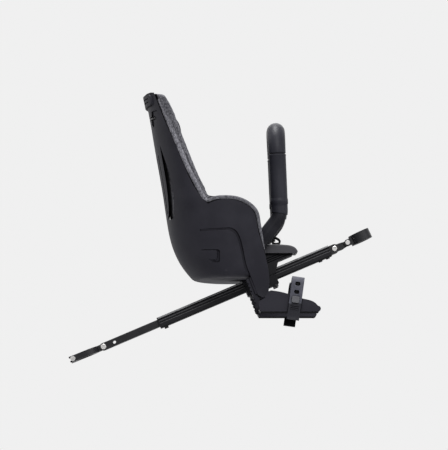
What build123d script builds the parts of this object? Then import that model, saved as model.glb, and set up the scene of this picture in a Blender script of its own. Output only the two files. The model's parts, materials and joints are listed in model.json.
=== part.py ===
from build123d import *
import math
import os

# Child bicycle seat on a telescopic rail. Millimetres and degrees.
# +X points forward along the bicycle, +Y to the rider's left, +Z up.
# The origin is the centre of the seat-post clamp.

# Lines of the bicycle that the seat is made for
POST_TILT = 22.0
POST_R = 15.8
STEERER_TILT = 25.0
STEERER_R = 14.3
RAIL_PITCH = 23.0
RAIL_SPAN = 541.0

# Clearances
GAP = 0.3
SOFT_GAP = 0.5
PIN_FIT = 0.05

# Seat shell
WALL = 4.5
FLOOR_Z = 147.0
SHELL_TOP = 518.0
CROWN_HALF = 104.0
CROWN_R = 49.0
CROWN_Z = 440.0
SIDE_FRONT = 400.0
SIDE_TOE_IN = 12.0
PANEL_TOE_IN = 26.0
CREASE_WIDTH = 4.5
CREASE_DEPTH = 1.2
GRIP_Z = 503.5
FLOOR_FILLET = 14.0
# height, back of the spine, half width, depth of the rounded back
SHELL_LEVELS = (
    (100.0, 258.0, 118.0, 74.0),
    (148.0, 216.0, 118.0, 74.0),
    (175.0, 194.0, 121.0, 74.0),
    (222.0, 172.5, 125.0, 74.0),
    (300.0, 158.5, 128.0, 72.0),
    (365.0, 147.5, 118.0, 66.0),
    (430.0, 136.0, 103.0, 58.0),
    (500.0, 123.0, 89.0, 50.0),
    (532.0, 117.0, 85.0, 48.0),
)

# Leg guards and footrests
LEG_TILT = 21.0
LEG_TOP = (331.0, FLOOR_Z)
LEG_LENGTH = 38.0
LEG_INNER = 60.0
TRAY_OUT = 133.0
TRAY_WALL = 3.5
STEM_HALF = 23.0
STEM_MID = 88.0
STEM_GAP = 0.4
STEM_PLATE = 4.0
STEM_DEPTH = 11.0
SCREW_DOWN = 33.0
SCREW_R = 4.0
FOOT_TRAVEL = 24.0
STRAP_LEAN = 8.0
STRAP_WIDTH = 24.0
STRAP_THICK = 3.0
STRAP_X = 417.0
STUD_Z = 102.0
STUD_R = 3.0

# Padding
PAD_THICK = 12.0
SEAT_PAD_THICK = 14.0

# Handle hoop
HOOP_HALF = 48.5
HOOP_R = 15.0
HOOP_WALL = 2.0
SLEEVE_R = 17.2
HOOP_FOOT = (320.0, 181.9)
HOOP_ELBOW = (388.5, 271.0)
HOOP_TOP = (381.5, 442.0)
HOOP_BEND = 40.0
SLEEVE_SPLIT = 397.0
SLEEVE_END = 277.0
HOOP_BOLT = (326.0, 189.7)
HOOP_BOLT_R = 4.0

# Rails
OUTER_W = 30.0
OUTER_H = 22.4
OUTER_START = 163.0
OUTER_END = 531.0
BORE_W = 24.0
BORE_H = 18.0
INNER_W = 20.0
INNER_H = 15.0
INNER_WALL = 3.0
INNER_END = 345.0
REAR_PIVOT = 41.5
PIVOT_R = 4.0

# Bracket between rail and seat
BRACKET_HALF = 25.0
BRACKET_START = 345.0
BRACKET_END = 412.0
BRACKET_TOP = 200.0
TUNNEL_HALF = 27.5
TUNNEL_WALL = 4.0
COVER_HALF = 32.5
JAW_DROP = 21.0
BRACKET_BOLT_R = 3.0

# Harness
WEB_WIDTH = 25.0
WEB_THICK = 2.0
SHOULDER_Y = 40.0
SLOT_Z = 468.0
ANCHOR_R = 2.5
ANCHOR_LENGTH = 34.0
ANCHOR_TURN = 14.5
CROTCH_X = 274.0
BUCKLE_X = 264.0
BUCKLE_LOW = 170.5
BUCKLE_TOP = 184.0
BUTTON_TRAVEL = 2.0

# Post clamp
CLAMP_HALF = 6.0
LINER = 2.5
YOKE_INNER = POST_R + LINER
YOKE_HALF = 24.5
YOKE_REAR = 30.0
CROSS_X = -23.0
CROSS_R = 2.5

# Front pivot and steerer collar
EAR_HALF = 12.5
LUG_R = 9.0
TONGUE_HALF = 6.7
TONGUE_REACH = 58.5
COLLAR_R = 20.5
COLLAR_HALF = 10.0
COLLAR_BOLT = 29.0
COLLAR_BOLT_R = 2.5


def side_plane(x, z, pitch):
    """Side-view plane at a point, its first axis pitched up from forward."""
    turn = math.radians(pitch)
    return Plane(origin=(x, 0, z), x_dir=(math.cos(turn), 0, math.sin(turn)), z_dir=(0, -1, 0))


def cross_plane(x, z, pitch):
    """Section plane at a point, square to a pitched line."""
    turn = math.radians(pitch)
    return Plane(origin=(x, 0, z), x_dir=(0, 1, 0), z_dir=(math.cos(turn), 0, math.sin(turn)))


def post_plane(x, z, tilt):
    """Plane at a point, square to a post that leans back by tilt."""
    turn = math.radians(tilt)
    return Plane(
        origin=(x, 0, z),
        x_dir=(math.cos(turn), 0, math.sin(turn)),
        z_dir=(-math.sin(turn), 0, math.cos(turn)),
    )


def slab(outline, low, high, plane=Plane.XZ):
    """Thicken a side-view outline between two stations across the seat."""
    return extrude(plane.offset(-high) * outline, high - low)


def both_slabs(outline, low, high, plane=Plane.XZ):
    """The same slab on the right and on the left."""
    return slab(outline, low, high, plane) + slab(outline, -high, -low, plane)


def polygon(*points):
    """Straight-sided face through points."""
    return make_face(Polyline(*points, close=True))


def rectangle(low, high):
    """Rectangle between two opposite corners."""
    middle = ((low[0] + high[0]) / 2, (low[1] + high[1]) / 2)
    return Pos(*middle) * Rectangle(high[0] - low[0], high[1] - low[1])


def rod(plane, radius, low, high):
    """Round bar along a plane's normal between two stations."""
    return extrude(plane.offset(low) * Circle(radius), high - low)


def cross_bar(x, z, radius, low, high):
    """Round bar across the seat at a side-view point."""
    return slab(Pos(x, z) * Circle(radius), low, high)


def left_of(piece):
    """The same piece on the rider's left."""
    return mirror(piece, about=Plane.XZ)


def along_line(start, pitch, distance):
    """Side-view point at a distance along a pitched line."""
    turn = math.radians(pitch)
    return start[0] + distance * math.cos(turn), start[1] + distance * math.sin(turn)


PIVOT_POINT = along_line((0, 0), POST_TILT, REAR_PIVOT)
RAIL_ORIGIN = along_line(PIVOT_POINT, RAIL_PITCH, -REAR_PIVOT)
RAIL = side_plane(*RAIL_ORIGIN, RAIL_PITCH)
LEG = side_plane(LEG_TOP[0], LEG_TOP[1], LEG_TILT - 90)


def rail_point(along):
    """Side-view point at a distance along the rail."""
    return along_line(RAIL_ORIGIN, RAIL_PITCH, along)


def rail_section(along):
    """Section plane of the rail at a distance along it."""
    x, z = rail_point(along)
    return cross_plane(x, z, RAIL_PITCH)


def rail_upright(along, across=0):
    """Plane in the rail's middle at a distance along it, its normal square to the rail and upward."""
    x, z = rail_point(along)
    turn = math.radians(RAIL_PITCH)
    return Plane(origin=(x, across, z), x_dir=(0, 1, 0), z_dir=(-math.sin(turn), 0, math.cos(turn)))


def leg_point(down, forward):
    """Side-view point given in the leg guard's own directions."""
    turn = math.radians(LEG_TILT)
    x = LEG_TOP[0] + down * math.sin(turn) + forward * math.cos(turn)
    z = LEG_TOP[1] - down * math.cos(turn) + forward * math.sin(turn)
    return x, z


# Seat shell
def bucket(inset, toe_in=SIDE_TOE_IN):
    """Lofted seat body: rounded back, sides that toe in towards the front."""
    sections = []
    for height, back, half, depth in SHELL_LEVELS:
        middle = back + depth
        side = half - inset
        rear = EllipticalCenterArc((middle, 0), depth - inset, side, start_angle=90, arc_size=180)
        right = TangentArc((middle, -side), (SIDE_FRONT, toe_in - side), tangent=(1, 0))
        left = TangentArc((middle, side), (SIDE_FRONT, side - toe_in), tangent=(1, 0))
        front = Line((SIDE_FRONT, toe_in - side), (SIDE_FRONT, side - toe_in))
        sections.append(Plane.XY.offset(height) * make_face([rear, right, left, front]))
    return loft(sections)


def floored(body, floor, radius):
    """Cut a seat body flat at a height and round its bottom edge."""
    upper = body & slab(rectangle((0, floor), (SIDE_FRONT + 50, 600)), -200, 200)
    return fillet(upper.edges().group_by(Axis.Z)[0], radius)


SHELL_BACK_RIM = Spline(
    (246.8, 289.5), (230.9, 306.5), (197.7, 370.8), (169.5, 437.7), (143.7, 503.3), (134.0, 532.0)
)
SHELL_ARM_RIM = Spline(
    (364.5, 116.0), (364.0, 165.0), (352.0, 212.6), (344.0, 242.0), (335.5, 275.0),
    (307.0, 294.8), (269.0, 297.7), (246.8, 289.5),
)
PAD_BACK_EDGE = Spline(
    (247.7, 309.0), (229.2, 341.8), (209.8, 389.0), (190.0, 441.0), (172.0, 492.0), (158.0, 520.0)
)
PAD_ARM_EDGE = Spline(
    (368.0, 168.0), (356.5, 225.0), (349.0, 266.0), (331.6, 292.8), (308.8, 304.6), (283.0, 308.0),
    (247.7, 309.0),
)

outer = bucket(0)
inner = bucket(WALL)

guard_end = leg_point(LEG_LENGTH, 0)
shell_lower = Polyline(
    (134, 532), (80, 532), (80, FLOOR_Z), LEG_TOP, guard_end, (352, 108), (362, 107.5), (364.5, 116)
)
shell_side = make_face([SHELL_ARM_RIM, SHELL_BACK_RIM, shell_lower])
crown_outline = Pos(0, SHELL_TOP - 300) * RectangleRounded(2 * CROWN_HALF, 600, CROWN_R)
crown_outline += rectangle((-200, 0), (200, CROWN_Z))
crown = extrude(Plane.YZ.offset(50) * crown_outline, 400)

# The side panel behind the raised front band sinks in towards the front
panel_side = make_face([
    Polyline((231, 240), (231, 130), (LEG_TOP[0] + 4, 130), LEG_TOP, (327.6, 156)),
    Spline((327.6, 156), (319, 183), (311, 220), (302, 237), (289, 243.5)),
    Line((289, 243.5), (231, 240)),
])
corner_side = rectangle((80, 130), (231, 240))
panel_body = floored(bucket(0, PANEL_TOE_IN), FLOOR_Z, FLOOR_FILLET)
shell = outer & slab(shell_side, -200, 200) & crown
shell -= slab(panel_side + corner_side, -200, 200) - panel_body
crease_side = panel_side - Pos(-CREASE_WIDTH, -CREASE_WIDTH) * panel_side
shell -= slab(crease_side, -200, 200) - bucket(CREASE_DEPTH, PANEL_TOE_IN)

cavity = floored(inner, FLOOR_Z + WALL, FLOOR_FILLET - WALL)
leg_back = [leg_point(-4, WALL), leg_point(LEG_LENGTH + 10, WALL)]
leg_room = polygon((322, FLOOR_Z + WALL + 1), *leg_back, (420, 90), (420, FLOOR_Z + WALL + 1))
shell -= cavity + (inner & slab(leg_room, -200, 200))
shell -= slab(rectangle((326, 90), (420, FLOOR_Z)), -LEG_INNER, LEG_INNER)

# Inner walls of the leg guards and the tunnel that holds the bracket
leg_cheek = polygon(
    leg_point(-3, 0), leg_point(LEG_LENGTH, 0), leg_point(LEG_LENGTH, 15), leg_point(-3, 30),
    (345, FLOOR_Z + 4),
)
shell += both_slabs(leg_cheek, LEG_INNER, LEG_INNER + 3)
tunnel_side = polygon((288, FLOOR_Z + 1), (331, FLOOR_Z + 1), (356, 162), (356, 199), (318, 199))
shell -= slab(rectangle((309, FLOOR_Z - 5), (420, FLOOR_Z + WALL + 2)), -TUNNEL_HALF, TUNNEL_HALF)
shell += both_slabs(tunnel_side, TUNNEL_HALF, TUNNEL_HALF + TUNNEL_WALL)

# Guide ribs beside the footrest stems
rib_side = rectangle((0, -4), (LEG_LENGTH - 3, WALL - 1))
rib_low = STEM_MID - STEM_HALF - GAP - 2
rib_high = STEM_MID + STEM_HALF + GAP
shell += both_slabs(rib_side, rib_low, rib_low + 2, LEG)
shell += both_slabs(rib_side, rib_high, rib_high + 2, LEG)

# Vents in the rounded back, grooves on the spine, pockets on the headrest and side
vent_side = make_face([
    Spline((151, 412), (168, 360), (178, 315), (179, 274)),
    ThreePointArc((179, 274), (174, 264), (168.5, 274)),
    Spline((168.5, 274), (166.5, 315), (160, 360), (151, 412)),
])
shell -= both_slabs(vent_side, 30, 200)

sunk = outer - bucket(1.6)
spine_grooves = [Pos(y, 335) * SlotOverall(118, 5, rotation=90) for y in (-44, -22, 0, 22, 44)]
shell -= sunk & extrude(Plane.YZ.offset(50) * Sketch(children=spine_grooves), 160)

sunk_deep = outer - bucket(2.4)
head_pocket = polygon((134, 481), (145, 481), (146, 461), (138, 450), (135, 456))
shell -= sunk_deep & both_slabs(head_pocket, 30, 200)
side_pocket = Pos(247, 188) * RectangleRounded(46, 25, 4)
side_tab = Pos(245, 190) * RectangleRounded(38, 18, 3)
shell -= both_slabs(side_pocket - side_tab, 118, 200) - bucket(2.6, PANEL_TOE_IN)

# Ridged grip roll across the top of the back
grip_outline = Pos(0, GRIP_Z) * RectangleRounded(124, 22, 8)
grip_ridges = Pos(0, GRIP_Z - 4) * Rectangle(104, 2.4) + Pos(0, GRIP_Z + 3) * Rectangle(104, 2.4)
grip = extrude(Plane.YZ.offset(80) * grip_outline, 120) & (bucket(-4.5) - bucket(0.5))
grip -= extrude(Plane.YZ.offset(80) * grip_ridges, 120) & (bucket(-4.5) - bucket(-2.5))
shell += grip & extrude(Plane.YZ.offset(80) * grip_outline, 70)

# Harness slots through the back
slots = Pos(SHOULDER_Y, SLOT_Z) * Rectangle(32, 7) + Pos(-SHOULDER_Y, SLOT_Z) * Rectangle(32, 7)
shell -= extrude(Plane.YZ.offset(80) * slots, 100)

# Seat pad: a liner that rolls over the rim
pad_side = make_face([
    PAD_ARM_EDGE,
    PAD_BACK_EDGE,
    Polyline(
        (158, 520), (150, 526), (100, 526), (100, FLOOR_Z + 2), (324, FLOOR_Z + 2), (324, 168), (368, 168)
    ),
])
pad_core = floored(bucket(WALL + SOFT_GAP), FLOOR_Z + WALL + SOFT_GAP, FLOOR_FILLET - WALL)
shell_room = slab(Pos(SOFT_GAP, SOFT_GAP) * shell_side, -200, 200) - pad_core
pad_hollow = floored(
    bucket(WALL + SOFT_GAP + PAD_THICK), FLOOR_Z + WALL + SOFT_GAP + SEAT_PAD_THICK, FLOOR_FILLET
)
pad = bucket(SOFT_GAP) & crown & slab(pad_side, -200, 200)
pad -= shell_room
pad -= pad_hollow
pad -= slab(rectangle((275.3, 100), (420, 260)), -COVER_HALF - 1, COVER_HALF + 1)
pad -= extrude(Plane.YZ.offset(80) * slots, 100)
pad -= slab(rectangle((272, 100), (276, 200)), -16, 16)

# Pommel cover over the bracket
cover_side = make_face([
    Spline((281, 170), (316, 204), (340, 214), (367, 218), (400, 217), (417, 213), (424.7, 204)),
    Polyline((424.7, 204), (421, 200.4), (316, 200.4), (284, 154), (276, 160), (281, 170)),
])
pommel_cover = slab(cover_side, -COVER_HALF, COVER_HALF)
cover_edges = pommel_cover.edges().filter_by(GeomType.BSPLINE)
pommel_cover = fillet(cover_edges, 3)
tunnel_room = offset(tunnel_side, GAP)
pommel_cover -= both_slabs(tunnel_room, TUNNEL_HALF - GAP, TUNNEL_HALF + TUNNEL_WALL + GAP)

# Bracket: wedge above the rail and a jaw below it
rail_blank = extrude(rail_section(300) * Rectangle(OUTER_W, OUTER_H), 200)
wedge_side = polygon(
    (314, 144), (319, BRACKET_TOP), (414, BRACKET_TOP), (414, 197.3), (386, 185.4), (380, 160),
    (330, 140),
)
clamp_side = rectangle((BRACKET_START, 0.5), (BRACKET_END, 16))
bracket = slab(wedge_side, -BRACKET_HALF, BRACKET_HALF)
bracket -= slab(rectangle((300, -40), (450, 0.5)), -60, 60, RAIL)
bracket += slab(clamp_side, -BRACKET_HALF, BRACKET_HALF, RAIL)
bracket -= rail_blank
for lift in (24, 28, 32):
    groove = rectangle((402, lift), (460, lift + 1.8))
    bracket -= both_slabs(groove, BRACKET_HALF - 1.5, BRACKET_HALF + 5, RAIL)

jaw_side = rectangle((BRACKET_START, -JAW_DROP), (BRACKET_END, -0.5))
jaw = slab(jaw_side, -BRACKET_HALF, BRACKET_HALF, RAIL)
jaw = fillet(jaw.edges().filter_by(Axis.Y), 2)
jaw -= rail_blank
for start in (362, 374, 386):
    jaw -= slab(rectangle((start, -JAW_DROP), (start + 5, -JAW_DROP + 3)), -60, 60, RAIL)

bracket_bolts = []
for along in (353, 404):
    for across in (-20, 20):
        spot = rail_upright(along, across)
        shank = rod(spot, BRACKET_BOLT_R, -JAW_DROP - 0.1, 10)
        head = rod(spot, 5, -JAW_DROP - 5, -JAW_DROP)
        head -= extrude(spot.offset(-JAW_DROP - 5) * RegularPolygon(2.6, 6), 2.5)
        bracket_bolts.append(shank + head)
        jaw -= rod(spot, BRACKET_BOLT_R + 0.2, -60, 0)
        bracket -= rod(spot, BRACKET_BOLT_R, 0, 10.5)


# Handle hoop
def hoop_leg_points(height):
    """Points on the centre lines of the hoop's right and left legs at a height."""
    lean = (HOOP_TOP[0] - HOOP_ELBOW[0]) / (HOOP_TOP[1] - HOOP_ELBOW[1])
    x = HOOP_ELBOW[0] + (height - HOOP_ELBOW[1]) * lean
    return (x, -HOOP_HALF, height), (x, HOOP_HALF, height)


def ring_sweep(path, radius, hole):
    """Round tube along a path."""
    start = Plane(origin=path @ 0, z_dir=path % 0)
    return sweep(start * (Circle(radius) - Circle(hole)), path)


hoop_top_points = [(HOOP_TOP[0], y, HOOP_TOP[1]) for y in (-HOOP_HALF, HOOP_HALF)]
hoop_points = [
    (HOOP_FOOT[0], -HOOP_HALF, HOOP_FOOT[1]), (HOOP_ELBOW[0], -HOOP_HALF, HOOP_ELBOW[1]),
    *hoop_top_points,
    (HOOP_ELBOW[0], HOOP_HALF, HOOP_ELBOW[1]), (HOOP_FOOT[0], HOOP_HALF, HOOP_FOOT[1]),
]
hoop = ring_sweep(FilletPolyline(*hoop_points, radius=HOOP_BEND), HOOP_R, HOOP_R - HOOP_WALL)
split_right, split_left = hoop_leg_points(SLEEVE_SPLIT)
top_path = FilletPolyline(split_right, *hoop_top_points, split_left, radius=HOOP_BEND)
top_sleeve = ring_sweep(top_path, SLEEVE_R, HOOP_R + PIN_FIT)
leg_start = hoop_leg_points(SLEEVE_END + 22)[0]
leg_stop = hoop_leg_points(SLEEVE_SPLIT - 1)[0]
leg_sleeve = ring_sweep(Line(leg_start, leg_stop), SLEEVE_R, HOOP_R + PIN_FIT)
cuff_path = FilletPolyline(hoop_points[0], hoop_points[1], leg_start, radius=HOOP_BEND)
cuff = ring_sweep(cuff_path, SLEEVE_R - 0.6, HOOP_R + PIN_FIT)
leg_sleeve += cuff & slab(rectangle((330, SLEEVE_END), (420, 330)), -100, 0)

hoop_bolt = cross_bar(*HOOP_BOLT, HOOP_BOLT_R, -HOOP_HALF - HOOP_R, -18)
hoop_bolt += cross_bar(*HOOP_BOLT, 7, -HOOP_HALF - HOOP_R - 4, -HOOP_HALF - HOOP_R)
hoop_spacer = cross_bar(*HOOP_BOLT, 9, -HOOP_HALF, -TUNNEL_HALF - TUNNEL_WALL)
hoop_spacer -= ring_sweep(Line(hoop_points[0], hoop_points[1]), HOOP_R, 0.01)
hoop_spacer -= cross_bar(*HOOP_BOLT, HOOP_BOLT_R + PIN_FIT, -80, 0)
hoop_spacer = hoop_spacer.solids().sort_by(Axis.Y)[-1]
bolt_room = cross_bar(*HOOP_BOLT, HOOP_BOLT_R + PIN_FIT, -90, 90)
spacer_room = both_slabs(Pos(*HOOP_BOLT) * Circle(9.5), TUNNEL_HALF + TUNNEL_WALL, 40)
hoop -= bolt_room
shell -= bolt_room
bracket -= bolt_room
pommel_cover -= both_slabs(Pos(*HOOP_BOLT) * Circle(9.5), TUNNEL_HALF - GAP, 40)


# Harness
def web(path, width, thick):
    """Flat webbing along a side-view path."""
    start = Plane(origin=path @ 0, x_dir=(0, 1, 0), z_dir=path % 0)
    return sweep(start * Rectangle(width, thick), path)


def side_spline(*points):
    """Smooth side-view curve."""
    return Plane.XZ * Spline(*points)


shoulder_path = side_spline(
    (133, SLOT_Z), (150, SLOT_Z), (176, 466), (188, 446), (184, 410), (180.5, 372), (180.5, 335),
    (187, 290), (198.5, 230), (211, 197), (226, 178), (234, 175.5),
)
shoulder_strap = Pos(0, -SHOULDER_Y, 0) * web(shoulder_path, WEB_WIDTH, WEB_THICK)
shoulder_tongue = polygon(
    (231, -SHOULDER_Y - WEB_WIDTH / 2), (231, -SHOULDER_Y + WEB_WIDTH / 2),
    (249, -6), (260, -6), (260, -18), (249, -18),
)
shoulder_strap += extrude(Plane.XY.offset(174.5) * shoulder_tongue, WEB_THICK)
pad_path = side_spline((162, 468), (176, 466), (188, 446), (184, 410), (180.5, 372))
shoulder_pad = web(pad_path, 38, 9) - web(shoulder_path, WEB_WIDTH + 0.8, WEB_THICK + 0.8)
shoulder_pad = Pos(0, -SHOULDER_Y, 0) * shoulder_pad

# Each strap ends in a loop around a bar that lies across its slot behind the shell
anchor_place = Pos(131.2, -SHOULDER_Y, SLOT_Z) * Rot(0, 0, ANCHOR_TURN) * Rot(90, 0, 0)
anchor_bar = anchor_place * Cylinder(ANCHOR_R, ANCHOR_LENGTH)
strap_loop = anchor_place * (Cylinder(ANCHOR_R + 1.6, WEB_WIDTH) - Cylinder(ANCHOR_R + 0.2, 60))
shoulder_strap = shoulder_strap - anchor_place * Cylinder(ANCHOR_R + 0.2, 60) + strap_loop
shoulder_strap = shoulder_strap.solids().sort_by(SortBy.VOLUME)[-1]

buckle_outline = Pos(BUCKLE_X, 0) * RectangleRounded(30, 40, 7)
buckle = extrude(Plane.XY.offset(BUCKLE_LOW) * buckle_outline, BUCKLE_TOP - BUCKLE_LOW)
buckle = fillet(buckle.faces().sort_by(Axis.Z)[-1].edges(), 2.5)
buckle -= slab(rectangle((246, 173.8), (261, 177.2)), -19, 19)
button_outline = Pos(BUCKLE_X, 0) * RectangleRounded(14, 22, 3)
button = extrude(Plane.XY.offset(BUCKLE_TOP - 3) * button_outline, 4.6)
button = fillet(button.faces().sort_by(Axis.Z)[-1].edges(), 0.8)
button_room = Pos(BUCKLE_X, 0) * RectangleRounded(14 + 2 * GAP, 22 + 2 * GAP, 3 + GAP)
buckle -= extrude(Plane.XY.offset(BUCKLE_TOP - 3 - BUTTON_TRAVEL - GAP) * button_room, 20)
crotch_side = rectangle((CROTCH_X - WEB_THICK / 2, 154), (CROTCH_X + WEB_THICK / 2, 175))
crotch_strap = slab(crotch_side, -WEB_WIDTH / 2, WEB_WIDTH / 2)
buckle -= slab(rectangle((CROTCH_X - 1.4, 165), (CROTCH_X + 1.4, 175.4)), -13, 13)
tail_path = side_spline(
    (279.6, 180.5), (289.5, 188.5), (303, 202), (320, 213), (342, 220), (361, 222.5), (371, 228),
    (380, 231), (387, 226.5), (385, 220.8), (378.5, 220.3), (372, 223.2),
)
strap_tail = web(tail_path, 20, 1.6)

# Footrest with its stem, drawn for the right side
tray_side = make_face([
    Polyline((347, 84), (350, 79), (459, 79)),
    ThreePointArc((459, 79), (466, 84), (460.4, 90.2)),
    Spline((460.4, 90.2), (452, 98), (431.8, 104), (401.6, 113.6), (369, 120)),
    Polyline((369, 120), (364, 118), (358, 106), (345, 98), (347, 84)),
])
tray_low = make_face([
    Polyline((347, 84), (350, 79), (459, 79)),
    ThreePointArc((459, 79), (465, 83), (460, 88)),
    Polyline((460, 88), (440, 96), (400, 100), (352, 98), (347, 84)),
])
sole_side = polygon((346, 84), (349, 79), (459, 79), (463.5, 82), (459, 84.2))
footrest = slab(tray_side, -TRAY_OUT, -TRAY_OUT + TRAY_WALL)
footrest += slab(tray_low, -LEG_INNER - TRAY_WALL, -LEG_INNER)
footrest += slab(sole_side, -TRAY_OUT + 1, -LEG_INNER - 1)
stem_face = rectangle((2, -STEM_GAP - STEM_PLATE), (71, -STEM_GAP))
stem = slab(stem_face, -STEM_MID - STEM_HALF, -STEM_MID + STEM_HALF, LEG)
flange_points = [(2, -STEM_GAP - 1), (2, -STEM_DEPTH)]
for tooth in range(6):
    start = 8 + 8 * tooth
    flange_points += [(start, -STEM_DEPTH), (start + 3, -STEM_DEPTH + 3), (start + 4, -STEM_DEPTH)]
flange_points += [(60, -STEM_DEPTH), (70, -STEM_GAP - STEM_PLATE), (70, -STEM_GAP - 1)]
flange = polygon(*flange_points)
stem += slab(flange, -STEM_MID - STEM_HALF, -STEM_MID - STEM_HALF + 4, LEG)
stem += slab(flange, -STEM_MID + STEM_HALF - 4, -STEM_MID + STEM_HALF, LEG)


def leg_normal(down):
    """Plane on the back of the leg guard, its normal pointing rearward."""
    x, z = leg_point(down, 0)
    turn = math.radians(LEG_TILT)
    return Plane(origin=(x, -STEM_MID, z), x_dir=(0, 1, 0), z_dir=(-math.cos(turn), 0, -math.sin(turn)))


slot_outline = SlotOverall(FOOT_TRAVEL + 2 * SCREW_R + 2 * GAP, 2 * SCREW_R + 2 * GAP, rotation=90)
stem -= extrude(leg_normal(SCREW_DOWN - FOOT_TRAVEL / 2).offset(-2) * slot_outline, 12)
footrest += stem
foot_screw = rod(leg_normal(SCREW_DOWN), SCREW_R, -WALL - 2, 8)
foot_screw += rod(leg_normal(SCREW_DOWN), 7.5, STEM_GAP + STEM_PLATE + GAP, 10)
foot_nut = rod(leg_normal(SCREW_DOWN), 6.5, -WALL - 4, -WALL)
foot_nut -= rod(leg_normal(SCREW_DOWN), SCREW_R + PIN_FIT, -20, 20)
screw_room = rod(leg_normal(SCREW_DOWN), SCREW_R + PIN_FIT, -20, 20)
shell -= screw_room + left_of(screw_room)

# Rubber foot strap over the tray, its studs and its holes
strap_turn = math.radians(STRAP_LEAN)
strap_normal = (math.cos(strap_turn), 0, -math.sin(strap_turn))
STRAP = Plane(origin=(STRAP_X, 0, STUD_Z), x_dir=(0, 1, 0), z_dir=strap_normal)
strap_out = -TRAY_OUT - GAP - STRAP_THICK / 2
strap_in = -LEG_INNER + GAP + STRAP_THICK / 2
strap_path = STRAP * FilletPolyline(
    (strap_in, -16), (strap_in, 44), (strap_out, 44), (strap_out, -36), (strap_out - 6, -48), radius=14
)
strap_start = Plane(origin=strap_path @ 0, x_dir=strap_normal, z_dir=strap_path % 0)
foot_strap = sweep(strap_start * Rectangle(STRAP_WIDTH, STRAP_THICK), strap_path)


def strap_spot(up):
    """Side-view point on the strap's middle line."""
    return STRAP_X + up * math.sin(strap_turn), STUD_Z + up * math.cos(strap_turn)


for up in (31, 15):
    strap_hole = Pos(*strap_spot(up)) * RectangleRounded(10, 7.5, 3, rotation=-STRAP_LEAN)
    foot_strap -= slab(strap_hole, strap_out - 5, strap_out + 5)
foot_strap -= cross_bar(*strap_spot(0), 3.3, strap_out - 5, strap_out + 5)
foot_strap -= cross_bar(*strap_spot(-8), 3.3, strap_in - 5, strap_in + 5)
for up in (-12, -15.5, -19):
    x, z = strap_spot(up)
    ridge = Pos(x, z) * Rectangle(16, 1.6, rotation=-STRAP_LEAN)
    foot_strap += slab(ridge, strap_out - 2.6, strap_out - 1)
stud_head = RectangleRounded(15, 13, 3, rotation=-STRAP_LEAN)
head_start = strap_out - STRAP_THICK / 2 - GAP
x, z = strap_spot(0)
strap_stud = slab(Pos(x, z) * stud_head, head_start - 3, head_start)
strap_stud = fillet(strap_stud.faces().sort_by(Axis.Y)[0].edges(), 1)
strap_stud += cross_bar(x, z, STUD_R, head_start, -TRAY_OUT)
x, z = strap_spot(-8)
anchor_start = strap_in + STRAP_THICK / 2 + GAP
strap_rivet = cross_bar(x, z, STUD_R, -LEG_INNER, anchor_start)
strap_rivet += cross_bar(x, z, 6, anchor_start, anchor_start + 2.5)

# Outer rail: a grooved extrusion
rail_face = RectangleRounded(OUTER_W, OUTER_H, 2.5)
for side in (-1, 1):
    rail_face -= Pos(side * OUTER_W / 2, 0.6) * Rectangle(2.4, 3.4)
    rail_face -= Pos(side * OUTER_W / 2, 7.4) * Rectangle(1.0, 1.0)
rail_face -= RectangleRounded(BORE_W, BORE_H, 1.5)
outer_rail = extrude(rail_section(OUTER_START) * rail_face, OUTER_END - OUTER_START)
bush_hole = RectangleRounded(INNER_W + GAP, INNER_H + GAP, 2.1)
bush_face = RectangleRounded(BORE_W - 0.1, BORE_H - 0.1, 1.4) - bush_hole
rail_bush = extrude(rail_section(OUTER_START) * bush_face, 30)
bush_flange = RectangleRounded(OUTER_W, OUTER_H, 2.5) - bush_hole
rail_bush += extrude(rail_section(OUTER_START - 2.5) * bush_flange, 2.5)

screw_plane = rail_upright(OUTER_START + 9)
lock_screw = rod(screw_plane, 2.5, -OUTER_H / 2 - 0.5, -INNER_H / 2 - GAP)
lock_screw += rod(screw_plane, 4.2, -OUTER_H / 2 - 4, -OUTER_H / 2)
screw_bore = rod(screw_plane, 2.5, -20, -2)
outer_rail -= screw_bore
rail_bush -= screw_bore

# Inner rail: a tube whose rear end is a clevis
inner_face = RectangleRounded(INNER_W, INNER_H, 2)
inner_face -= RectangleRounded(INNER_W - 2 * INNER_WALL, INNER_H - 2 * INNER_WALL, 1)
inner_start = REAR_PIVOT - INNER_H / 2
inner_rail = extrude(rail_section(inner_start) * inner_face, INNER_END - inner_start)
clevis_half = INNER_W / 2 - INNER_WALL
inner_rail -= slab(rectangle((20, -20), (58, 20)), -clevis_half, clevis_half, RAIL)
ear_round = rectangle((inner_start, -10), (REAR_PIVOT, 10))
ear_round -= Pos(REAR_PIVOT, 0) * Circle(INNER_H / 2)
inner_rail -= slab(ear_round, -20, 20, RAIL)
inner_rail -= slab(Pos(REAR_PIVOT, 0) * Circle(PIVOT_R + PIN_FIT), -30, 30, RAIL)
inner_rail -= slab(Pos(65, 0) * Circle(3.2), -30, 30, RAIL)
guide_face = RectangleRounded(BORE_W - 0.4, BORE_H - 0.4, 1.4)
rail_guide = extrude(rail_section(INNER_END) * guide_face, 12)
rail_guide += extrude(rail_section(INNER_END - 12) * RectangleRounded(13.9, 8.9, 0.9), 12)

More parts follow.
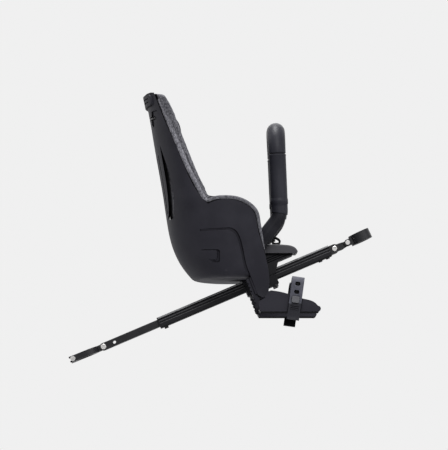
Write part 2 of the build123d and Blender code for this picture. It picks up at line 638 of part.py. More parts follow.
# Post clamp: yoke, rear saddle, rubber liners and cross bolt
POST = post_plane(0, 0, POST_TILT)
yoke_plan = rectangle((-YOKE_REAR, -YOKE_HALF), (6, YOKE_HALF)) + Pos(6, 0) * Circle(YOKE_HALF)
yoke_plan -= Circle(YOKE_INNER) + rectangle((-60, -YOKE_INNER), (0, YOKE_INNER))
yoke_plan += rectangle((22, -6.7), (REAR_PIVOT, 6.7))
clamp_yoke = extrude(POST.offset(-CLAMP_HALF) * yoke_plan, 2 * CLAMP_HALF)
POST_SIDE = side_plane(0, 0, POST_TILT)
clamp_yoke += slab(Pos(REAR_PIVOT, 0) * Circle(CLAMP_HALF), -6.7, 6.7, POST_SIDE)
clamp_yoke -= slab(rectangle((-60, -2.7), (-17.5, 2.7)), -60, 60, POST_SIDE)
clamp_yoke -= slab(Pos(REAR_PIVOT, 0) * Circle(PIVOT_R + PIN_FIT), -30, 30, POST_SIDE)
clamp_yoke -= slab(Pos(REAR_PIVOT, 0) * Circle(INNER_H / 2 + 0.6), 6.7, 30, POST_SIDE)
clamp_yoke -= slab(Pos(REAR_PIVOT, 0) * Circle(INNER_H / 2 + 0.6), -30, -6.7, POST_SIDE)


def liner_piece(start, arc_size):
    """Rubber lining of the clamp over part of the round."""
    outside = CenterArc((0, 0), YOKE_INNER, start, arc_size)
    inside = CenterArc((0, 0), POST_R, start, arc_size)
    ends = [Line(inside @ 0, outside @ 0), Line(inside @ 1, outside @ 1)]
    return extrude(POST.offset(-CLAMP_HALF) * make_face([outside, inside, *ends]), 2 * CLAMP_HALF)


yoke_liner = liner_piece(-80, 160)
saddle_liner = liner_piece(122, 116)
saddle_plan = rectangle((-28, -YOKE_INNER + GAP), (-9, YOKE_INNER - GAP)) - Circle(YOKE_INNER)
clamp_saddle = extrude(POST.offset(-CLAMP_HALF) * saddle_plan, 2 * CLAMP_HALF)
clamp_saddle -= slab(Pos(CROSS_X, 0) * Circle(CROSS_R + PIN_FIT), -60, 60, POST_SIDE)
cross_bolt = slab(Pos(CROSS_X, 0) * Circle(CROSS_R), -YOKE_HALF, YOKE_HALF + 6, POST_SIDE)
cross_bolt += slab(Pos(CROSS_X, 0) * Circle(5), -YOKE_HALF - 4, -YOKE_HALF, POST_SIDE)
nut_face = Circle(6) - Circle(CROSS_R + PIN_FIT)
cross_nut = slab(Pos(CROSS_X, 0) * nut_face, YOKE_HALF, YOKE_HALF + 6, POST_SIDE)


def pivot_bolt(plane, along, grip, head_r):
    """Bolt across the seat through a clevis: head on the right."""
    bolt = slab(Pos(along, 0) * Circle(PIVOT_R), -grip - 0.1, grip + 6, plane)
    head = slab(Pos(along, 0) * Circle(head_r), -grip - 3, -grip, plane)
    head = fillet(head.faces().sort_by(Axis.Y)[0].edges(), 1)
    head -= slab(Pos(along, 0) * RegularPolygon(2.8, 6), -grip - 3, -grip - 1, plane)
    return bolt + head


def pivot_nut(plane, along, grip):
    """Hexagon nut on the left end of a pivot bolt."""
    face = RegularPolygon(6.5, 6) - Circle(PIVOT_R + PIN_FIT)
    return slab(Pos(along, 0) * face, grip, grip + 6, plane)


rear_bolt = pivot_bolt(RAIL, REAR_PIVOT, INNER_W / 2 + 0.1, 5.5)
rear_nut = pivot_nut(RAIL, REAR_PIVOT, INNER_W / 2 + 0.1)

# Front lug, tongue and steerer collar
lug = extrude(rail_section(496) * RectangleRounded(BORE_W - 0.1, BORE_H - 0.1, 1.4), OUTER_END - 496)
lug += slab(rectangle((OUTER_END, -LUG_R), (RAIL_SPAN, LUG_R)), -EAR_HALF, EAR_HALF, RAIL)
lug += slab(Pos(RAIL_SPAN, 0) * Circle(LUG_R), -EAR_HALF, EAR_HALF, RAIL)
lug_slot = rectangle((RAIL_SPAN - LUG_R - 1.5, -20), (RAIL_SPAN + 60, 20))
lug -= slab(lug_slot, -TONGUE_HALF - GAP, TONGUE_HALF + GAP, RAIL)
lug -= slab(Pos(RAIL_SPAN, 0) * Circle(PIVOT_R + PIN_FIT), -30, 30, RAIL)
front_bolt = pivot_bolt(RAIL, RAIL_SPAN, EAR_HALF + 0.1, 5.2)
front_nut = pivot_nut(RAIL, RAIL_SPAN, EAR_HALF + 0.1)
lug_screws = []
for along in (506, 522):
    spot = rail_upright(along)
    shank = rod(spot, 2.5, -OUTER_H / 2 - 0.1, -5)
    lug_screws.append(shank + rod(spot, 4, -OUTER_H / 2 - 2.4, -OUTER_H / 2))
    lug -= rod(spot, 2.5, -30, -5)
    outer_rail -= rod(spot, 2.5, -30, -5)

FRONT_PIVOT = rail_point(RAIL_SPAN)
TONGUE = side_plane(*FRONT_PIVOT, STEERER_TILT)
tongue_side = polygon((0, 7), (14, 6), (26, 4.5), (34, 4), (34, -4), (26, -6), (14, -8), (0, -7))
tongue = slab(tongue_side, -TONGUE_HALF, TONGUE_HALF, TONGUE)
tongue += slab(Circle(7.6), -TONGUE_HALF, TONGUE_HALF, TONGUE)
tongue -= both_slabs(rectangle((19, -20), (40, 20)), 3, 20, TONGUE)
tongue -= slab(Circle(PIVOT_R + PIN_FIT), -30, 30, TONGUE)
tongue -= slab(Pos(COLLAR_BOLT, 0) * Circle(COLLAR_BOLT_R + PIN_FIT), -30, 30, TONGUE)

STEERER = post_plane(*along_line(FRONT_PIVOT, STEERER_TILT, TONGUE_REACH), STEERER_TILT)
collar_plan = Circle(COLLAR_R) + rectangle((-TONGUE_REACH + 22, -9), (-10, 9))
collar_plan -= Circle(STEERER_R) + rectangle((-60, -3.2), (-10, 3.2))
collar = extrude(STEERER.offset(-COLLAR_HALF) * collar_plan, 2 * COLLAR_HALF)
ear_trim = rectangle((19, -30), (TONGUE_REACH - COLLAR_R - 2, 30)) - Pos(COLLAR_BOLT, 0) * Circle(6.5)
ear_trim -= rectangle((COLLAR_BOLT, -6.5), (60, 6.5))
collar -= slab(ear_trim, -30, 30, TONGUE)
collar -= slab(Pos(COLLAR_BOLT, 0) * Circle(COLLAR_BOLT_R + PIN_FIT), -30, 30, TONGUE)
collar_bolt = slab(Pos(COLLAR_BOLT, 0) * Circle(COLLAR_BOLT_R), -9.1, 13, TONGUE)
collar_bolt += slab(Pos(COLLAR_BOLT, 0) * Circle(4.5), -13, -9, TONGUE)
collar_nut_face = RegularPolygon(4.6, 6) - Circle(COLLAR_BOLT_R + PIN_FIT)
collar_nut = slab(Pos(COLLAR_BOLT, 0) * collar_nut_face, 9, 13, TONGUE)

PIECES = {
    "seat_shell": shell,
    "seat_pad": pad,
    "pommel_cover": pommel_cover,
    "rail_bracket": bracket,
    "bracket_jaw": jaw,
    "bracket_bolts": Compound(children=bracket_bolts),
    "handle_hoop": hoop,
    "handle_top_sleeve": top_sleeve,
    "handle_right_sleeve": leg_sleeve,
    "handle_left_sleeve": left_of(leg_sleeve),
    "handle_bolts": Compound(children=[hoop_bolt, left_of(hoop_bolt)]),
    "handle_spacers": Compound(children=[hoop_spacer, left_of(hoop_spacer)]),
    "shoulder_strap_right": shoulder_strap,
    "shoulder_strap_left": left_of(shoulder_strap),
    "shoulder_pad_right": shoulder_pad,
    "shoulder_pad_left": left_of(shoulder_pad),
    "strap_anchor_bars": Compound(children=[anchor_bar, left_of(anchor_bar)]),
    "crotch_strap": crotch_strap,
    "strap_tail": strap_tail,
    "buckle": buckle,
    "buckle_button": button,
    "footrest_right": footrest,
    "footrest_left": left_of(footrest),
    "foot_strap_right": foot_strap,
    "foot_strap_left": left_of(foot_strap),
    "strap_stud_right": strap_stud,
    "strap_stud_left": left_of(strap_stud),
    "strap_rivet_right": strap_rivet,
    "strap_rivet_left": left_of(strap_rivet),
    "footrest_screws": Compound(children=[foot_screw, left_of(foot_screw)]),
    "footrest_nuts": Compound(children=[foot_nut, left_of(foot_nut)]),
    "outer_rail": outer_rail,
    "rail_bush": rail_bush,
    "rail_lock_screw": lock_screw,
    "inner_rail": inner_rail,
    "rail_guide": rail_guide,
    "rail_front_lug": lug,
    "lug_screws": Compound(children=lug_screws),
    "front_pivot_bolt": front_bolt,
    "front_pivot_nut": front_nut,
    "front_tongue": tongue,
    "steerer_collar": collar,
    "collar_bolt": collar_bolt,
    "collar_nut": collar_nut,
    "clamp_yoke": clamp_yoke,
    "yoke_liner": yoke_liner,
    "clamp_saddle": clamp_saddle,
    "saddle_liner": saddle_liner,
    "clamp_cross_bolt": cross_bolt,
    "clamp_cross_nut": cross_nut,
    "rear_pivot_bolt": rear_bolt,
    "rear_pivot_nut": rear_nut,
}

os.makedirs("parts", exist_ok=True)
for name, piece in PIECES.items():
    export_step(piece, f"parts/{name}.step")
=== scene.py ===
"""Looks of a child bicycle seat on a telescopic rail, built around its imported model."""

import json
import logging
import math
from collections.abc import Iterator, Sequence
from contextlib import contextmanager
from dataclasses import dataclass
from enum import Enum
from typing import ClassVar, Protocol, TypeAlias

import bpy
import numpy as np
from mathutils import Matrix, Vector
from mathutils.bvhtree import BVHTree


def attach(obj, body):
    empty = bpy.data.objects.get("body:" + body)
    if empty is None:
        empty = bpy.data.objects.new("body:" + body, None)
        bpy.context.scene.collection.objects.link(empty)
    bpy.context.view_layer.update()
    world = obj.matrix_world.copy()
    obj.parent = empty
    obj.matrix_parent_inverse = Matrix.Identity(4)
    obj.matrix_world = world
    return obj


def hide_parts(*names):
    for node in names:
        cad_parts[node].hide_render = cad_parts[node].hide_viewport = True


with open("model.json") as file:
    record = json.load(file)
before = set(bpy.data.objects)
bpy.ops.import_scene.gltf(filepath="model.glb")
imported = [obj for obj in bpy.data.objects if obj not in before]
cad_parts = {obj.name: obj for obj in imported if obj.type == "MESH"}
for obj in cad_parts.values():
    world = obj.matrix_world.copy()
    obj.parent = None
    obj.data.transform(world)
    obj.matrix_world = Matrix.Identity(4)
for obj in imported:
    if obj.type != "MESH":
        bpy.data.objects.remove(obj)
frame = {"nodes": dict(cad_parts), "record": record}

LOG = logging.getLogger("child_seat")
MM = 0.001
Colour: TypeAlias = tuple[float, float, float]
Point: TypeAlias = tuple[float, float, float]
Line: TypeAlias = Sequence[tuple[float, float]]
Piece: TypeAlias = bpy.types.Object
Material: TypeAlias = bpy.types.Material
Term: TypeAlias = "Value | float"
SHADE: Colour = (0.002, 0.002, 0.0025)
RAIL_PITCH = 23.0


class Body(Enum):
    """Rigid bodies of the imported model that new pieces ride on."""

    SEAT = "seat"
    FOOTREST_RIGHT = "footrest_right"
    FOOTREST_LEFT = "footrest_left"


class Side(Enum):
    """Rider's right and left, with the sign of their Y coordinates."""

    RIGHT = -1
    LEFT = 1

    @property
    def word(self) -> str:
        """Lower-case name used in piece and node names."""
        return self.name.lower()

    @property
    def footrest(self) -> Body:
        """Body of the footrest on this side."""
        return Body[f"FOOTREST_{self.name}"]


# Shader graphs


@dataclass(frozen=True)
class Value:
    """A shader socket that can stand in a Python expression; new Math nodes go into its graph."""

    graph: "Graph"
    socket: bpy.types.NodeSocket

    def _math(self, operation: str, first: Term, second: Term) -> "Value":
        """Add one Math node.

        Args:
            operation: Math node operation.
            first: Value of its first socket.
            second: Value of its second socket.

        Returns:
            The node's result.
        """
        return self.graph.node("ShaderNodeMath", {"operation": operation}, {0: first, 1: second})

    def __add__(self, other: Term) -> "Value":
        """Sum."""
        return self._math("ADD", self, other)

    __radd__ = __add__

    def __sub__(self, other: Term) -> "Value":
        """Difference."""
        return self._math("SUBTRACT", self, other)

    def __rsub__(self, other: Term) -> "Value":
        """Difference from a number."""
        return self._math("SUBTRACT", other, self)

    def __mul__(self, other: Term) -> "Value":
        """Product."""
        return self._math("MULTIPLY", self, other)

    __rmul__ = __mul__

    def __truediv__(self, other: Term) -> "Value":
        """Quotient."""
        return self._math("DIVIDE", self, other)

    def size(self) -> "Value":
        """Distance of the value from zero."""
        return self._math("ABSOLUTE", self, 0.0)

    def sine(self) -> "Value":
        """Sine of the value."""
        return self._math("SINE", self, 0.0)

    def eased(self, low: float, high: float) -> "Value":
        """Smooth step between two levels.

        Args:
            low: Level that gives 0.
            high: Level that gives 1.

        Returns:
            Value from 0 to 1.
        """
        levels = {"Value": self, "From Min": low, "From Max": high}
        return self.graph.node("ShaderNodeMapRange", {"interpolation_type": "SMOOTHSTEP"}, levels)


class Graph:
    """Node tree of a material or of the world."""

    def __init__(self, owner: Material | bpy.types.World) -> None:
        """Start with an empty tree.

        Args:
            owner: Material or world to fill.
        """
        self.owner = owner
        owner.use_nodes = True
        self.tree = owner.node_tree
        self.tree.nodes.clear()

    @classmethod
    def of_material(cls, name: str) -> "Graph":
        """Empty tree of a new material."""
        return cls(bpy.data.materials.new(name))

    def node(
        self, kind: str, settings: dict | None = None, inputs: dict | None = None, out: int | str = 0
    ) -> Value:
        """Add a node.

        Args:
            kind: Node type.
            settings: Node properties, set first.
            inputs: Values or links by socket name or number.
            out: Output socket to return.

        Returns:
            The chosen output.
        """
        made = self.tree.nodes.new(kind)
        for key, value in (settings or {}).items():
            setattr(made, key, value)
        for key, value in (inputs or {}).items():
            if isinstance(value, Value):
                self.tree.links.new(value.socket, made.inputs[key])
            else:
                made.inputs[key].default_value = value
        return Value(self, made.outputs[out])

    def split(self, vector: Value, axis: str) -> Value:
        """One coordinate of a vector."""
        return self.node("ShaderNodeSeparateXYZ", {}, {"Vector": vector}, axis)

    def spot(self, axis: str) -> Value:
        """Object coordinate along one axis, in metres."""
        return self.split(self.node("ShaderNodeTexCoord", out="Object"), axis)

    def facing(self, axis: str) -> Value:
        """Share of the surface normal along one axis."""
        return self.split(self.node("ShaderNodeNewGeometry", out="Normal"), axis)

    def place(self, stretch: Point = (1, 1, 1), turn: Point = (0, 0, 0)) -> Value:
        """Object coordinates in metres, stretched and turned.

        Args:
            stretch: Scale of the pattern along each axis.
            turn: Rotation of the pattern in degrees.

        Returns:
            Coordinates for a texture.
        """
        coordinates = self.node("ShaderNodeTexCoord", out="Object")
        angles = tuple(math.radians(angle) for angle in turn)
        inputs = {"Vector": coordinates, "Rotation": angles, "Scale": stretch}
        return self.node("ShaderNodeMapping", {}, inputs)

    def noise(self, size: float, detail: float = 2.0, where: Value | None = None) -> Value:
        """Cloudy pattern.

        Args:
            size: Size of its features in metres.
            detail: Number of finer layers.
            where: Coordinates; Object coordinates if left out.

        Returns:
            Value around one half.
        """
        inputs = {"Vector": where or self.place(), "Scale": 1 / size, "Detail": detail}
        return self.node("ShaderNodeTexNoise", {}, inputs)

    def blend(self, share: Value, first: Colour | Value, second: Colour | Value) -> Value:
        """Mix two colours.

        Args:
            share: Share of the second colour.
            first: Colour at 0.
            second: Colour at 1.

        Returns:
            Mixed colour.
        """
        inputs = {0: share, 6: self.opaque(first), 7: self.opaque(second)}
        return self.node("ShaderNodeMix", {"data_type": "RGBA"}, inputs, 2)

    @staticmethod
    def opaque(colour: Colour | Value) -> tuple[float, float, float, float] | Value:
        """Colour with full alpha, or the link unchanged."""
        return colour if isinstance(colour, Value) else (*colour, 1.0)

    def edges(self, width: float) -> tuple[Value, Value]:
        """Rounded normal and a mask of the sharp edges.

        Args:
            width: Radius of the rounding in metres.

        Returns:
            Normal that rounds the edges, and a mask that is 1 on them.
        """
        rounded = self.node("ShaderNodeBevel", {"samples": 6}, {"Radius": width})
        flat = self.node("ShaderNodeNewGeometry", out="Normal")
        match = self.node(
            "ShaderNodeVectorMath", {"operation": "DOT_PRODUCT"}, {0: rounded, 1: flat}, "Value"
        )
        return rounded, (1 - match).eased(0.01, 0.16)

    def corners(self, reach: float, alone: bool = True) -> Value:
        """Mask of inner corners, where painted shade goes.

        Args:
            reach: Distance in metres at which a corner starts to show.
            alone: Whether only the piece itself makes corners, and not its neighbours.

        Returns:
            Value from 0 in the open to 1 deep in a corner.
        """
        settings = {"samples": 8, "only_local": alone}
        openness = self.node("ShaderNodeAmbientOcclusion", settings, {"Distance": reach}, "AO")
        return (1 - openness).eased(0.1, 0.55)

    def bump(self, height: Value, depth: float, normal: Value | None = None) -> Value:
        """Relief normal.

        Args:
            height: Height from 0 to 1.
            depth: Depth of the relief in metres.
            normal: Normal to start from.

        Returns:
            Bumped normal.
        """
        inputs = {"Height": height, "Distance": depth, "Strength": 1.0}
        if normal is not None:
            inputs["Normal"] = normal
        return self.node("ShaderNodeBump", {}, inputs)

    def surface(self, inputs: dict, shade: Value | None = None) -> Material:
        """Finish the material with a Principled shader.

        Args:
            inputs: Values or links of its sockets.
            shade: Share of matte black, such as the shade in a corner.

        Returns:
            The finished material.
        """
        shader = self.node("ShaderNodeBsdfPrincipled", {}, inputs)
        if shade is not None:
            black = self.node("ShaderNodeBsdfDiffuse", {}, {"Color": self.opaque(SHADE)})
            shader = self.node("ShaderNodeMixShader", {}, {0: shade, 1: shader, 2: black})
        self.end(shader, "ShaderNodeOutputMaterial")
        return self.owner

    def end(self, shader: Value, kind: str) -> None:
        """Link the last shader to a new output node.

        Args:
            shader: Shader to show.
            kind: Type of the output node.
        """
        self.tree.links.new(shader.socket, self.tree.nodes.new(kind).inputs["Surface"])


# Finishes


def tinted(colour: Colour, gain: float, lift: float = 0.0) -> Colour:
    """Colour made lighter or darker.

    Args:
        colour: Colour to start from.
        gain: Factor on each channel.
        lift: Amount added to each channel.

    Returns:
        The new colour, with no channel above 1.
    """
    return tuple(min(1.0, channel * gain + lift) for channel in colour)


class Finish(Protocol):
    """Looks of one material."""

    name: str

    def make(self) -> Material:
        """Build the material."""


@dataclass(frozen=True)
class MouldedPlastic:
    """Injection-moulded plastic with an etched grain, lighter edges that are partly wear and partly painted
    highlight, and painted shade in corners and, where set, on faces that point down.
    """

    name: str
    colour: Colour
    roughness: float = 0.5
    grain: float = 0.9 * MM
    grain_depth: float = 0.05 * MM
    edge_width: float = 0.8 * MM
    edge_lift: float = 2.2
    gloss: float = 0.25
    shade_reach: float = 9 * MM
    painted_underside_shade: float = 0.0

    def make(self) -> Material:
        """Build the material."""
        graph = Graph.of_material(self.name)
        rounded, edge = graph.edges(self.edge_width)
        haze = graph.noise(60 * MM, 3.0)
        grain = graph.noise(self.grain, 3.0)
        # Edge colour: partly wear, partly painted highlight.
        edge_wear_and_highlight = tinted(self.colour, self.edge_lift, 0.01)
        # Painted shade in corners and beside other pieces.
        corner = graph.corners(self.shade_reach, alone=False)
        # Painted shade on faces that point down.
        under = (0 - graph.facing("Z")).eased(0.6, 0.9) * self.painted_underside_shade
        body = graph.blend(haze.eased(0.35, 0.7), self.colour, tinted(self.colour, 1.22, 0.003))
        return graph.surface(
            {
                "Base Color": graph.blend(edge * (1 - corner), body, edge_wear_and_highlight),
                "Roughness": self.roughness + (haze - 0.5) * 0.16 + (grain - 0.5) * 0.1,
                "Normal": graph.bump(grain, self.grain_depth, rounded),
                "Specular IOR Level": self.gloss,
            },
            1 - (1 - corner * 0.85) * (1 - under),
        )


@dataclass(frozen=True)
class HeatherKnit:
    """Knitted fabric of mixed light and dark yarn."""

    name: str
    light: Colour
    dark: Colour
    fleck: float = 2.6 * MM
    stitch: float = 1.5 * MM
    shade_reach: float = 20 * MM

    def make(self) -> Material:
        """Build the material."""
        graph = Graph.of_material(self.name)
        flecks = graph.noise(self.fleck, 4.0, graph.place((1, 1, 0.6), (0, 24, 0)))
        threads = graph.noise(self.fleck * 0.4, 2.0, graph.place((1, 1, 0.35), (12, -15, 0)))
        cloud = graph.noise(45 * MM, 2.0)
        share = flecks.eased(0.36, 0.64) * 0.62 + threads.eased(0.3, 0.7) * 0.38
        rows = graph.node(
            "ShaderNodeTexWave", {"bands_direction": "Z"},
            {"Vector": graph.place(), "Scale": 0.31 / self.stitch, "Distortion": 1.4, "Detail": 1.0,
             "Detail Scale": 2.0},
        )
        columns = graph.node(
            "ShaderNodeTexWave", {"bands_direction": "X"},
            {"Vector": graph.place(turn=(0, 0, 40)), "Scale": 0.31 / self.stitch, "Distortion": 1.0},
        )
        weave = rows * 0.6 + columns * 0.4
        tone = graph.blend(share * (0.85 + cloud * 0.3), self.dark, self.light)
        return graph.surface(
            {
                "Base Color": tone,
                "Roughness": 0.88 + (threads - 0.5) * 0.12,
                "Normal": graph.bump(weave * 0.6 + threads * 0.4, 0.5 * MM),
                "Sheen Weight": 0.04,
                "Sheen Roughness": 0.5,
                "Specular IOR Level": 0.12,
            },
            # Painted shade in corners and beside other pieces, such as beside the rim roll.
            graph.corners(self.shade_reach, alone=False) * 0.8,
        )


@dataclass(frozen=True)
class Webbing:
    """Woven strap; its UV map is across and along the strap in metres."""

    name: str
    light: Colour
    dark: Colour
    rib: float = 1.3 * MM

    def make(self) -> Material:
        """Build the material."""
        graph = Graph.of_material(self.name)
        place = graph.node("ShaderNodeUVMap", {"uv_map": "strap"}, out="UV")
        across, along = graph.split(place, "X"), graph.split(place, "Y")
        turn = 2 * math.pi / self.rib
        chevron = (across * turn * 0.5).sine() * 2.2
        rib = (along * turn + chevron).sine() * 0.5 + 0.5
        cord = (across * turn * 1.5).sine() * 0.5 + 0.5
        fuzz = graph.noise(0.5 * MM, 2.0)
        weave = rib * 0.65 + cord * 0.35
        return graph.surface({
            "Base Color": graph.blend(weave * 0.7 + fuzz * 0.3, self.dark, self.light),
            "Roughness": 0.74 + (fuzz - 0.5) * 0.2,
            "Normal": graph.bump(weave * 0.8 + fuzz * 0.2, 0.35 * MM),
            "Sheen Weight": 0.03,
            "Specular IOR Level": 0.2,
        })


@dataclass(frozen=True)
class SoftFoam:
    """Closed-cell foam with a matte skin and fine pores."""

    name: str
    colour: Colour
    pore: float = 0.9 * MM

    def make(self) -> Material:
        """Build the material."""
        graph = Graph.of_material(self.name)
        inputs = {"Vector": graph.place(), "Scale": 1 / self.pore}
        pores = graph.node("ShaderNodeTexVoronoi", {"feature": "F1"}, inputs)
        skin = graph.noise(2 * self.pore, 3.0)
        cloud = graph.noise(40 * MM, 3.0)
        share = cloud.eased(0.3, 0.75) * 0.6 + skin * 0.4
        return graph.surface({
            "Base Color": graph.blend(share, self.colour, tinted(self.colour, 1.35, 0.004)),
            "Roughness": 0.46 + (skin - 0.5) * 0.2,
            "Normal": graph.bump(pores.eased(0.0, 0.7) * 0.6 + skin * 0.4, 0.08 * MM),
            "Specular IOR Level": 0.16,
        })


@dataclass(frozen=True)
class MouldedRubber:
    """Flexible rubber with a dusty bloom, lighter edges that are partly wear and partly painted highlight,
    and painted shade in corners and beside other pieces.
    """

    name: str
    colour: Colour
    roughness: float = 0.66

    def make(self) -> Material:
        """Build the material."""
        graph = Graph.of_material(self.name)
        rounded, edge = graph.edges(0.7 * MM)
        bloom = graph.noise(18 * MM, 4.0)
        grain = graph.noise(0.7 * MM, 2.0)
        # Dusty bloom, and edges that are partly wear and partly painted highlight.
        share = bloom.eased(0.4, 0.75) * 0.6 + edge * 0.4
        return graph.surface(
            {
                "Base Color": graph.blend(share, self.colour, tinted(self.colour, 1.5, 0.01)),
                "Roughness": self.roughness + (bloom - 0.5) * 0.2,
                "Normal": graph.bump(grain, 0.05 * MM, rounded),
                "Specular IOR Level": 0.2,
            },
            # Painted shade in corners and beside other pieces.
            graph.corners(20 * MM, alone=False) * 0.9,
        )


@dataclass(frozen=True)
class StrapRubber:
    """Rubber strap, lighter above a set height and darker below, with a dusty bloom and lighter edges on
    its upper part, partly wear and partly painted highlight, and painted shade on faces towards the seat's
    middle and in corners.
    """

    name: str
    upper: Colour
    lower: Colour
    lower_top: float

    def make(self) -> Material:
        """Build the material."""
        graph = Graph.of_material(self.name)
        rounded, edge = graph.edges(0.8 * MM)
        above = graph.spot("Z").eased(self.lower_top - MM, self.lower_top)
        across = graph.spot("Y")
        outward = graph.facing("Y") * across / across.size()
        # Painted shade on faces that point towards the seat's middle.
        painted_inner_shade = (0 - outward).eased(0.3, 0.7)
        bloom = graph.noise(9 * MM, 4.0)
        grain = graph.noise(0.7 * MM, 2.0)
        body = graph.blend(above, self.lower, self.upper)
        # Dusty bloom and edges: partly wear, partly painted highlight.
        rubbed_and_highlit = bloom.eased(0.45, 0.8) * 0.3 + edge
        return graph.surface(
            {
                "Base Color": graph.blend(rubbed_and_highlit * above, body, tinted(self.upper, 2.2, 0.01)),
                "Roughness": 0.6 + (bloom - 0.5) * 0.2,
                "Normal": graph.bump(grain, 0.05 * MM, rounded),
                "Specular IOR Level": 0.2,
            },
            # Painted shade in corners, beside other pieces and on the inward faces.
            1 - (1 - graph.corners(25 * MM, alone=False) * 0.9) * (1 - painted_inner_shade * 0.9),
        )


@dataclass(frozen=True)
class SatinMetal:
    """Black-coated metal with fine lines along the extrusion, bright edges that are partly wear and partly
    painted highlight, and painted shade in its corners.
    """

    name: str
    colour: Colour
    roughness: float = 0.36
    pitch: float = RAIL_PITCH
    edge_width: float = 0.6 * MM
    gloss: float = 0.25

    def make(self) -> Material:
        """Build the material."""
        graph = Graph.of_material(self.name)
        rounded, edge = graph.edges(self.edge_width)
        lines = graph.noise(1.1 * MM, 3.0, graph.place((0.02, 1, 1), (0, self.pitch, 0)))
        handling = graph.noise(30 * MM, 4.0)
        # Painted shade in corners.
        corner = graph.corners(5 * MM)
        body = graph.blend(handling.eased(0.4, 0.7), self.colour, tinted(self.colour, 1.3, 0.002))
        # Edge colour: partly wear, partly painted highlight.
        edge_wear_and_highlight = tinted(self.colour, 3.0, 0.07)
        return graph.surface(
            {
                "Base Color": graph.blend(edge * (1 - corner) * 0.8, body, edge_wear_and_highlight),
                "Roughness": self.roughness + (handling - 0.5) * 0.18 + (lines - 0.5) * 0.1,
                "Normal": graph.bump(lines, 0.03 * MM, rounded),
                "Coat Weight": (0.2 + handling * 0.2) * self.gloss,
                "Coat Roughness": 0.3,
                "Specular IOR Level": self.gloss,
            },
            corner * 0.8,
        )


@dataclass(frozen=True)
class GroovedRail:
    """Black extrusion with painted highlights, partly wear, on the lips of its side groove and along the
    top of its sides, and painted shade under that line, along its foot edge and in its corners.
    """

    name: str
    colour: Colour
    foot: tuple[float, float]
    pitch: float
    groove: float
    groove_half: float
    lip: float
    crown: float
    line: float = 3.6 * MM

    def make(self) -> Material:
        """Build the material."""
        graph = Graph.of_material(self.name)
        rounded, _ = graph.edges(0.6 * MM)
        turn = math.radians(self.pitch)
        rise, run = graph.spot("Z") - self.foot[1], graph.spot("X") - self.foot[0]
        height = rise * math.cos(turn) - run * math.sin(turn)
        inside = (height - self.groove).size()
        lip_end = self.groove_half + self.lip
        # Lips of the side groove: painted highlight, partly wear.
        lips = inside.eased(self.groove_half, self.groove_half + 0.2 * MM)
        lips = lips - inside.eased(lip_end, lip_end + 0.4 * MM)
        # Line along the top of the sides: painted highlight, partly wear, with painted shade in a band
        # under it.
        bright_from = self.crown - self.line
        sideways = graph.facing("Y").size().eased(0.3, 0.6)
        above = height.eased(bright_from - 0.3 * MM, bright_from + 0.3 * MM)
        top = above * sideways
        under = (height.eased(bright_from - 3.0 * MM, bright_from - 1.8 * MM) - above) * sideways
        # Painted shade along the foot edge.
        foot_edge = 1 - height.eased(1.0 * MM - self.crown, 2.6 * MM - self.crown)
        # Patchy strength of the wear and highlights.
        rubbed_and_highlit = graph.noise(14 * MM, 3.0, graph.place((0.25, 1, 1), (0, self.pitch, 0))).eased(0.2, 0.6)
        lines = graph.noise(1.1 * MM, 3.0, graph.place((0.02, 1, 1), (0, self.pitch, 0)))
        body = graph.blend(lines.eased(0.35, 0.65), self.colour, tinted(self.colour, 1.5))
        body = graph.blend(lips * 0.8 * (0.5 + rubbed_and_highlit * 0.5), body, tinted(self.colour, 4.0, 0.09))
        body = graph.blend(top * (0.6 + rubbed_and_highlit * 0.4), body, tinted(self.colour, 4.0, 0.2))
        return graph.surface(
            {
                "Base Color": body,
                "Roughness": 0.4 + (lines - 0.5) * 0.14 - lips * 0.08,
                "Normal": graph.bump(lines, 0.03 * MM, rounded),
                "Coat Weight": 0.02 + rubbed_and_highlit * 0.04,
                "Coat Roughness": 0.3,
                "Specular IOR Level": 0.14,
            },
            # Painted shade in corners, under the top line and along the foot edge.
            graph.corners(4 * MM) * 0.9 + under * 0.75 + foot_edge * 0.6,
        )


@dataclass(frozen=True)
class BrightSteel:
    """Zinc-plated steel with turning marks."""

    name: str
    colour: Colour
    roughness: float = 0.26

    def make(self) -> Material:
        """Build the material."""
        graph = Graph.of_material(self.name)
        rounded, edge = graph.edges(0.4 * MM)
        marks = graph.noise(0.5 * MM, 3.0, graph.place((1, 0.15, 1)))
        tarnish = graph.noise(6 * MM, 3.0)
        return graph.surface({
            "Base Color": graph.blend(tarnish.eased(0.45, 0.8), self.colour, tinted(self.colour, 0.72)),
            "Metallic": 1.0,
            "Roughness": self.roughness + (tarnish - 0.5) * 0.22 + (marks - 0.5) * 0.12 - edge * 0.05,
            "Normal": graph.bump(marks, 0.02 * MM, rounded),
        })


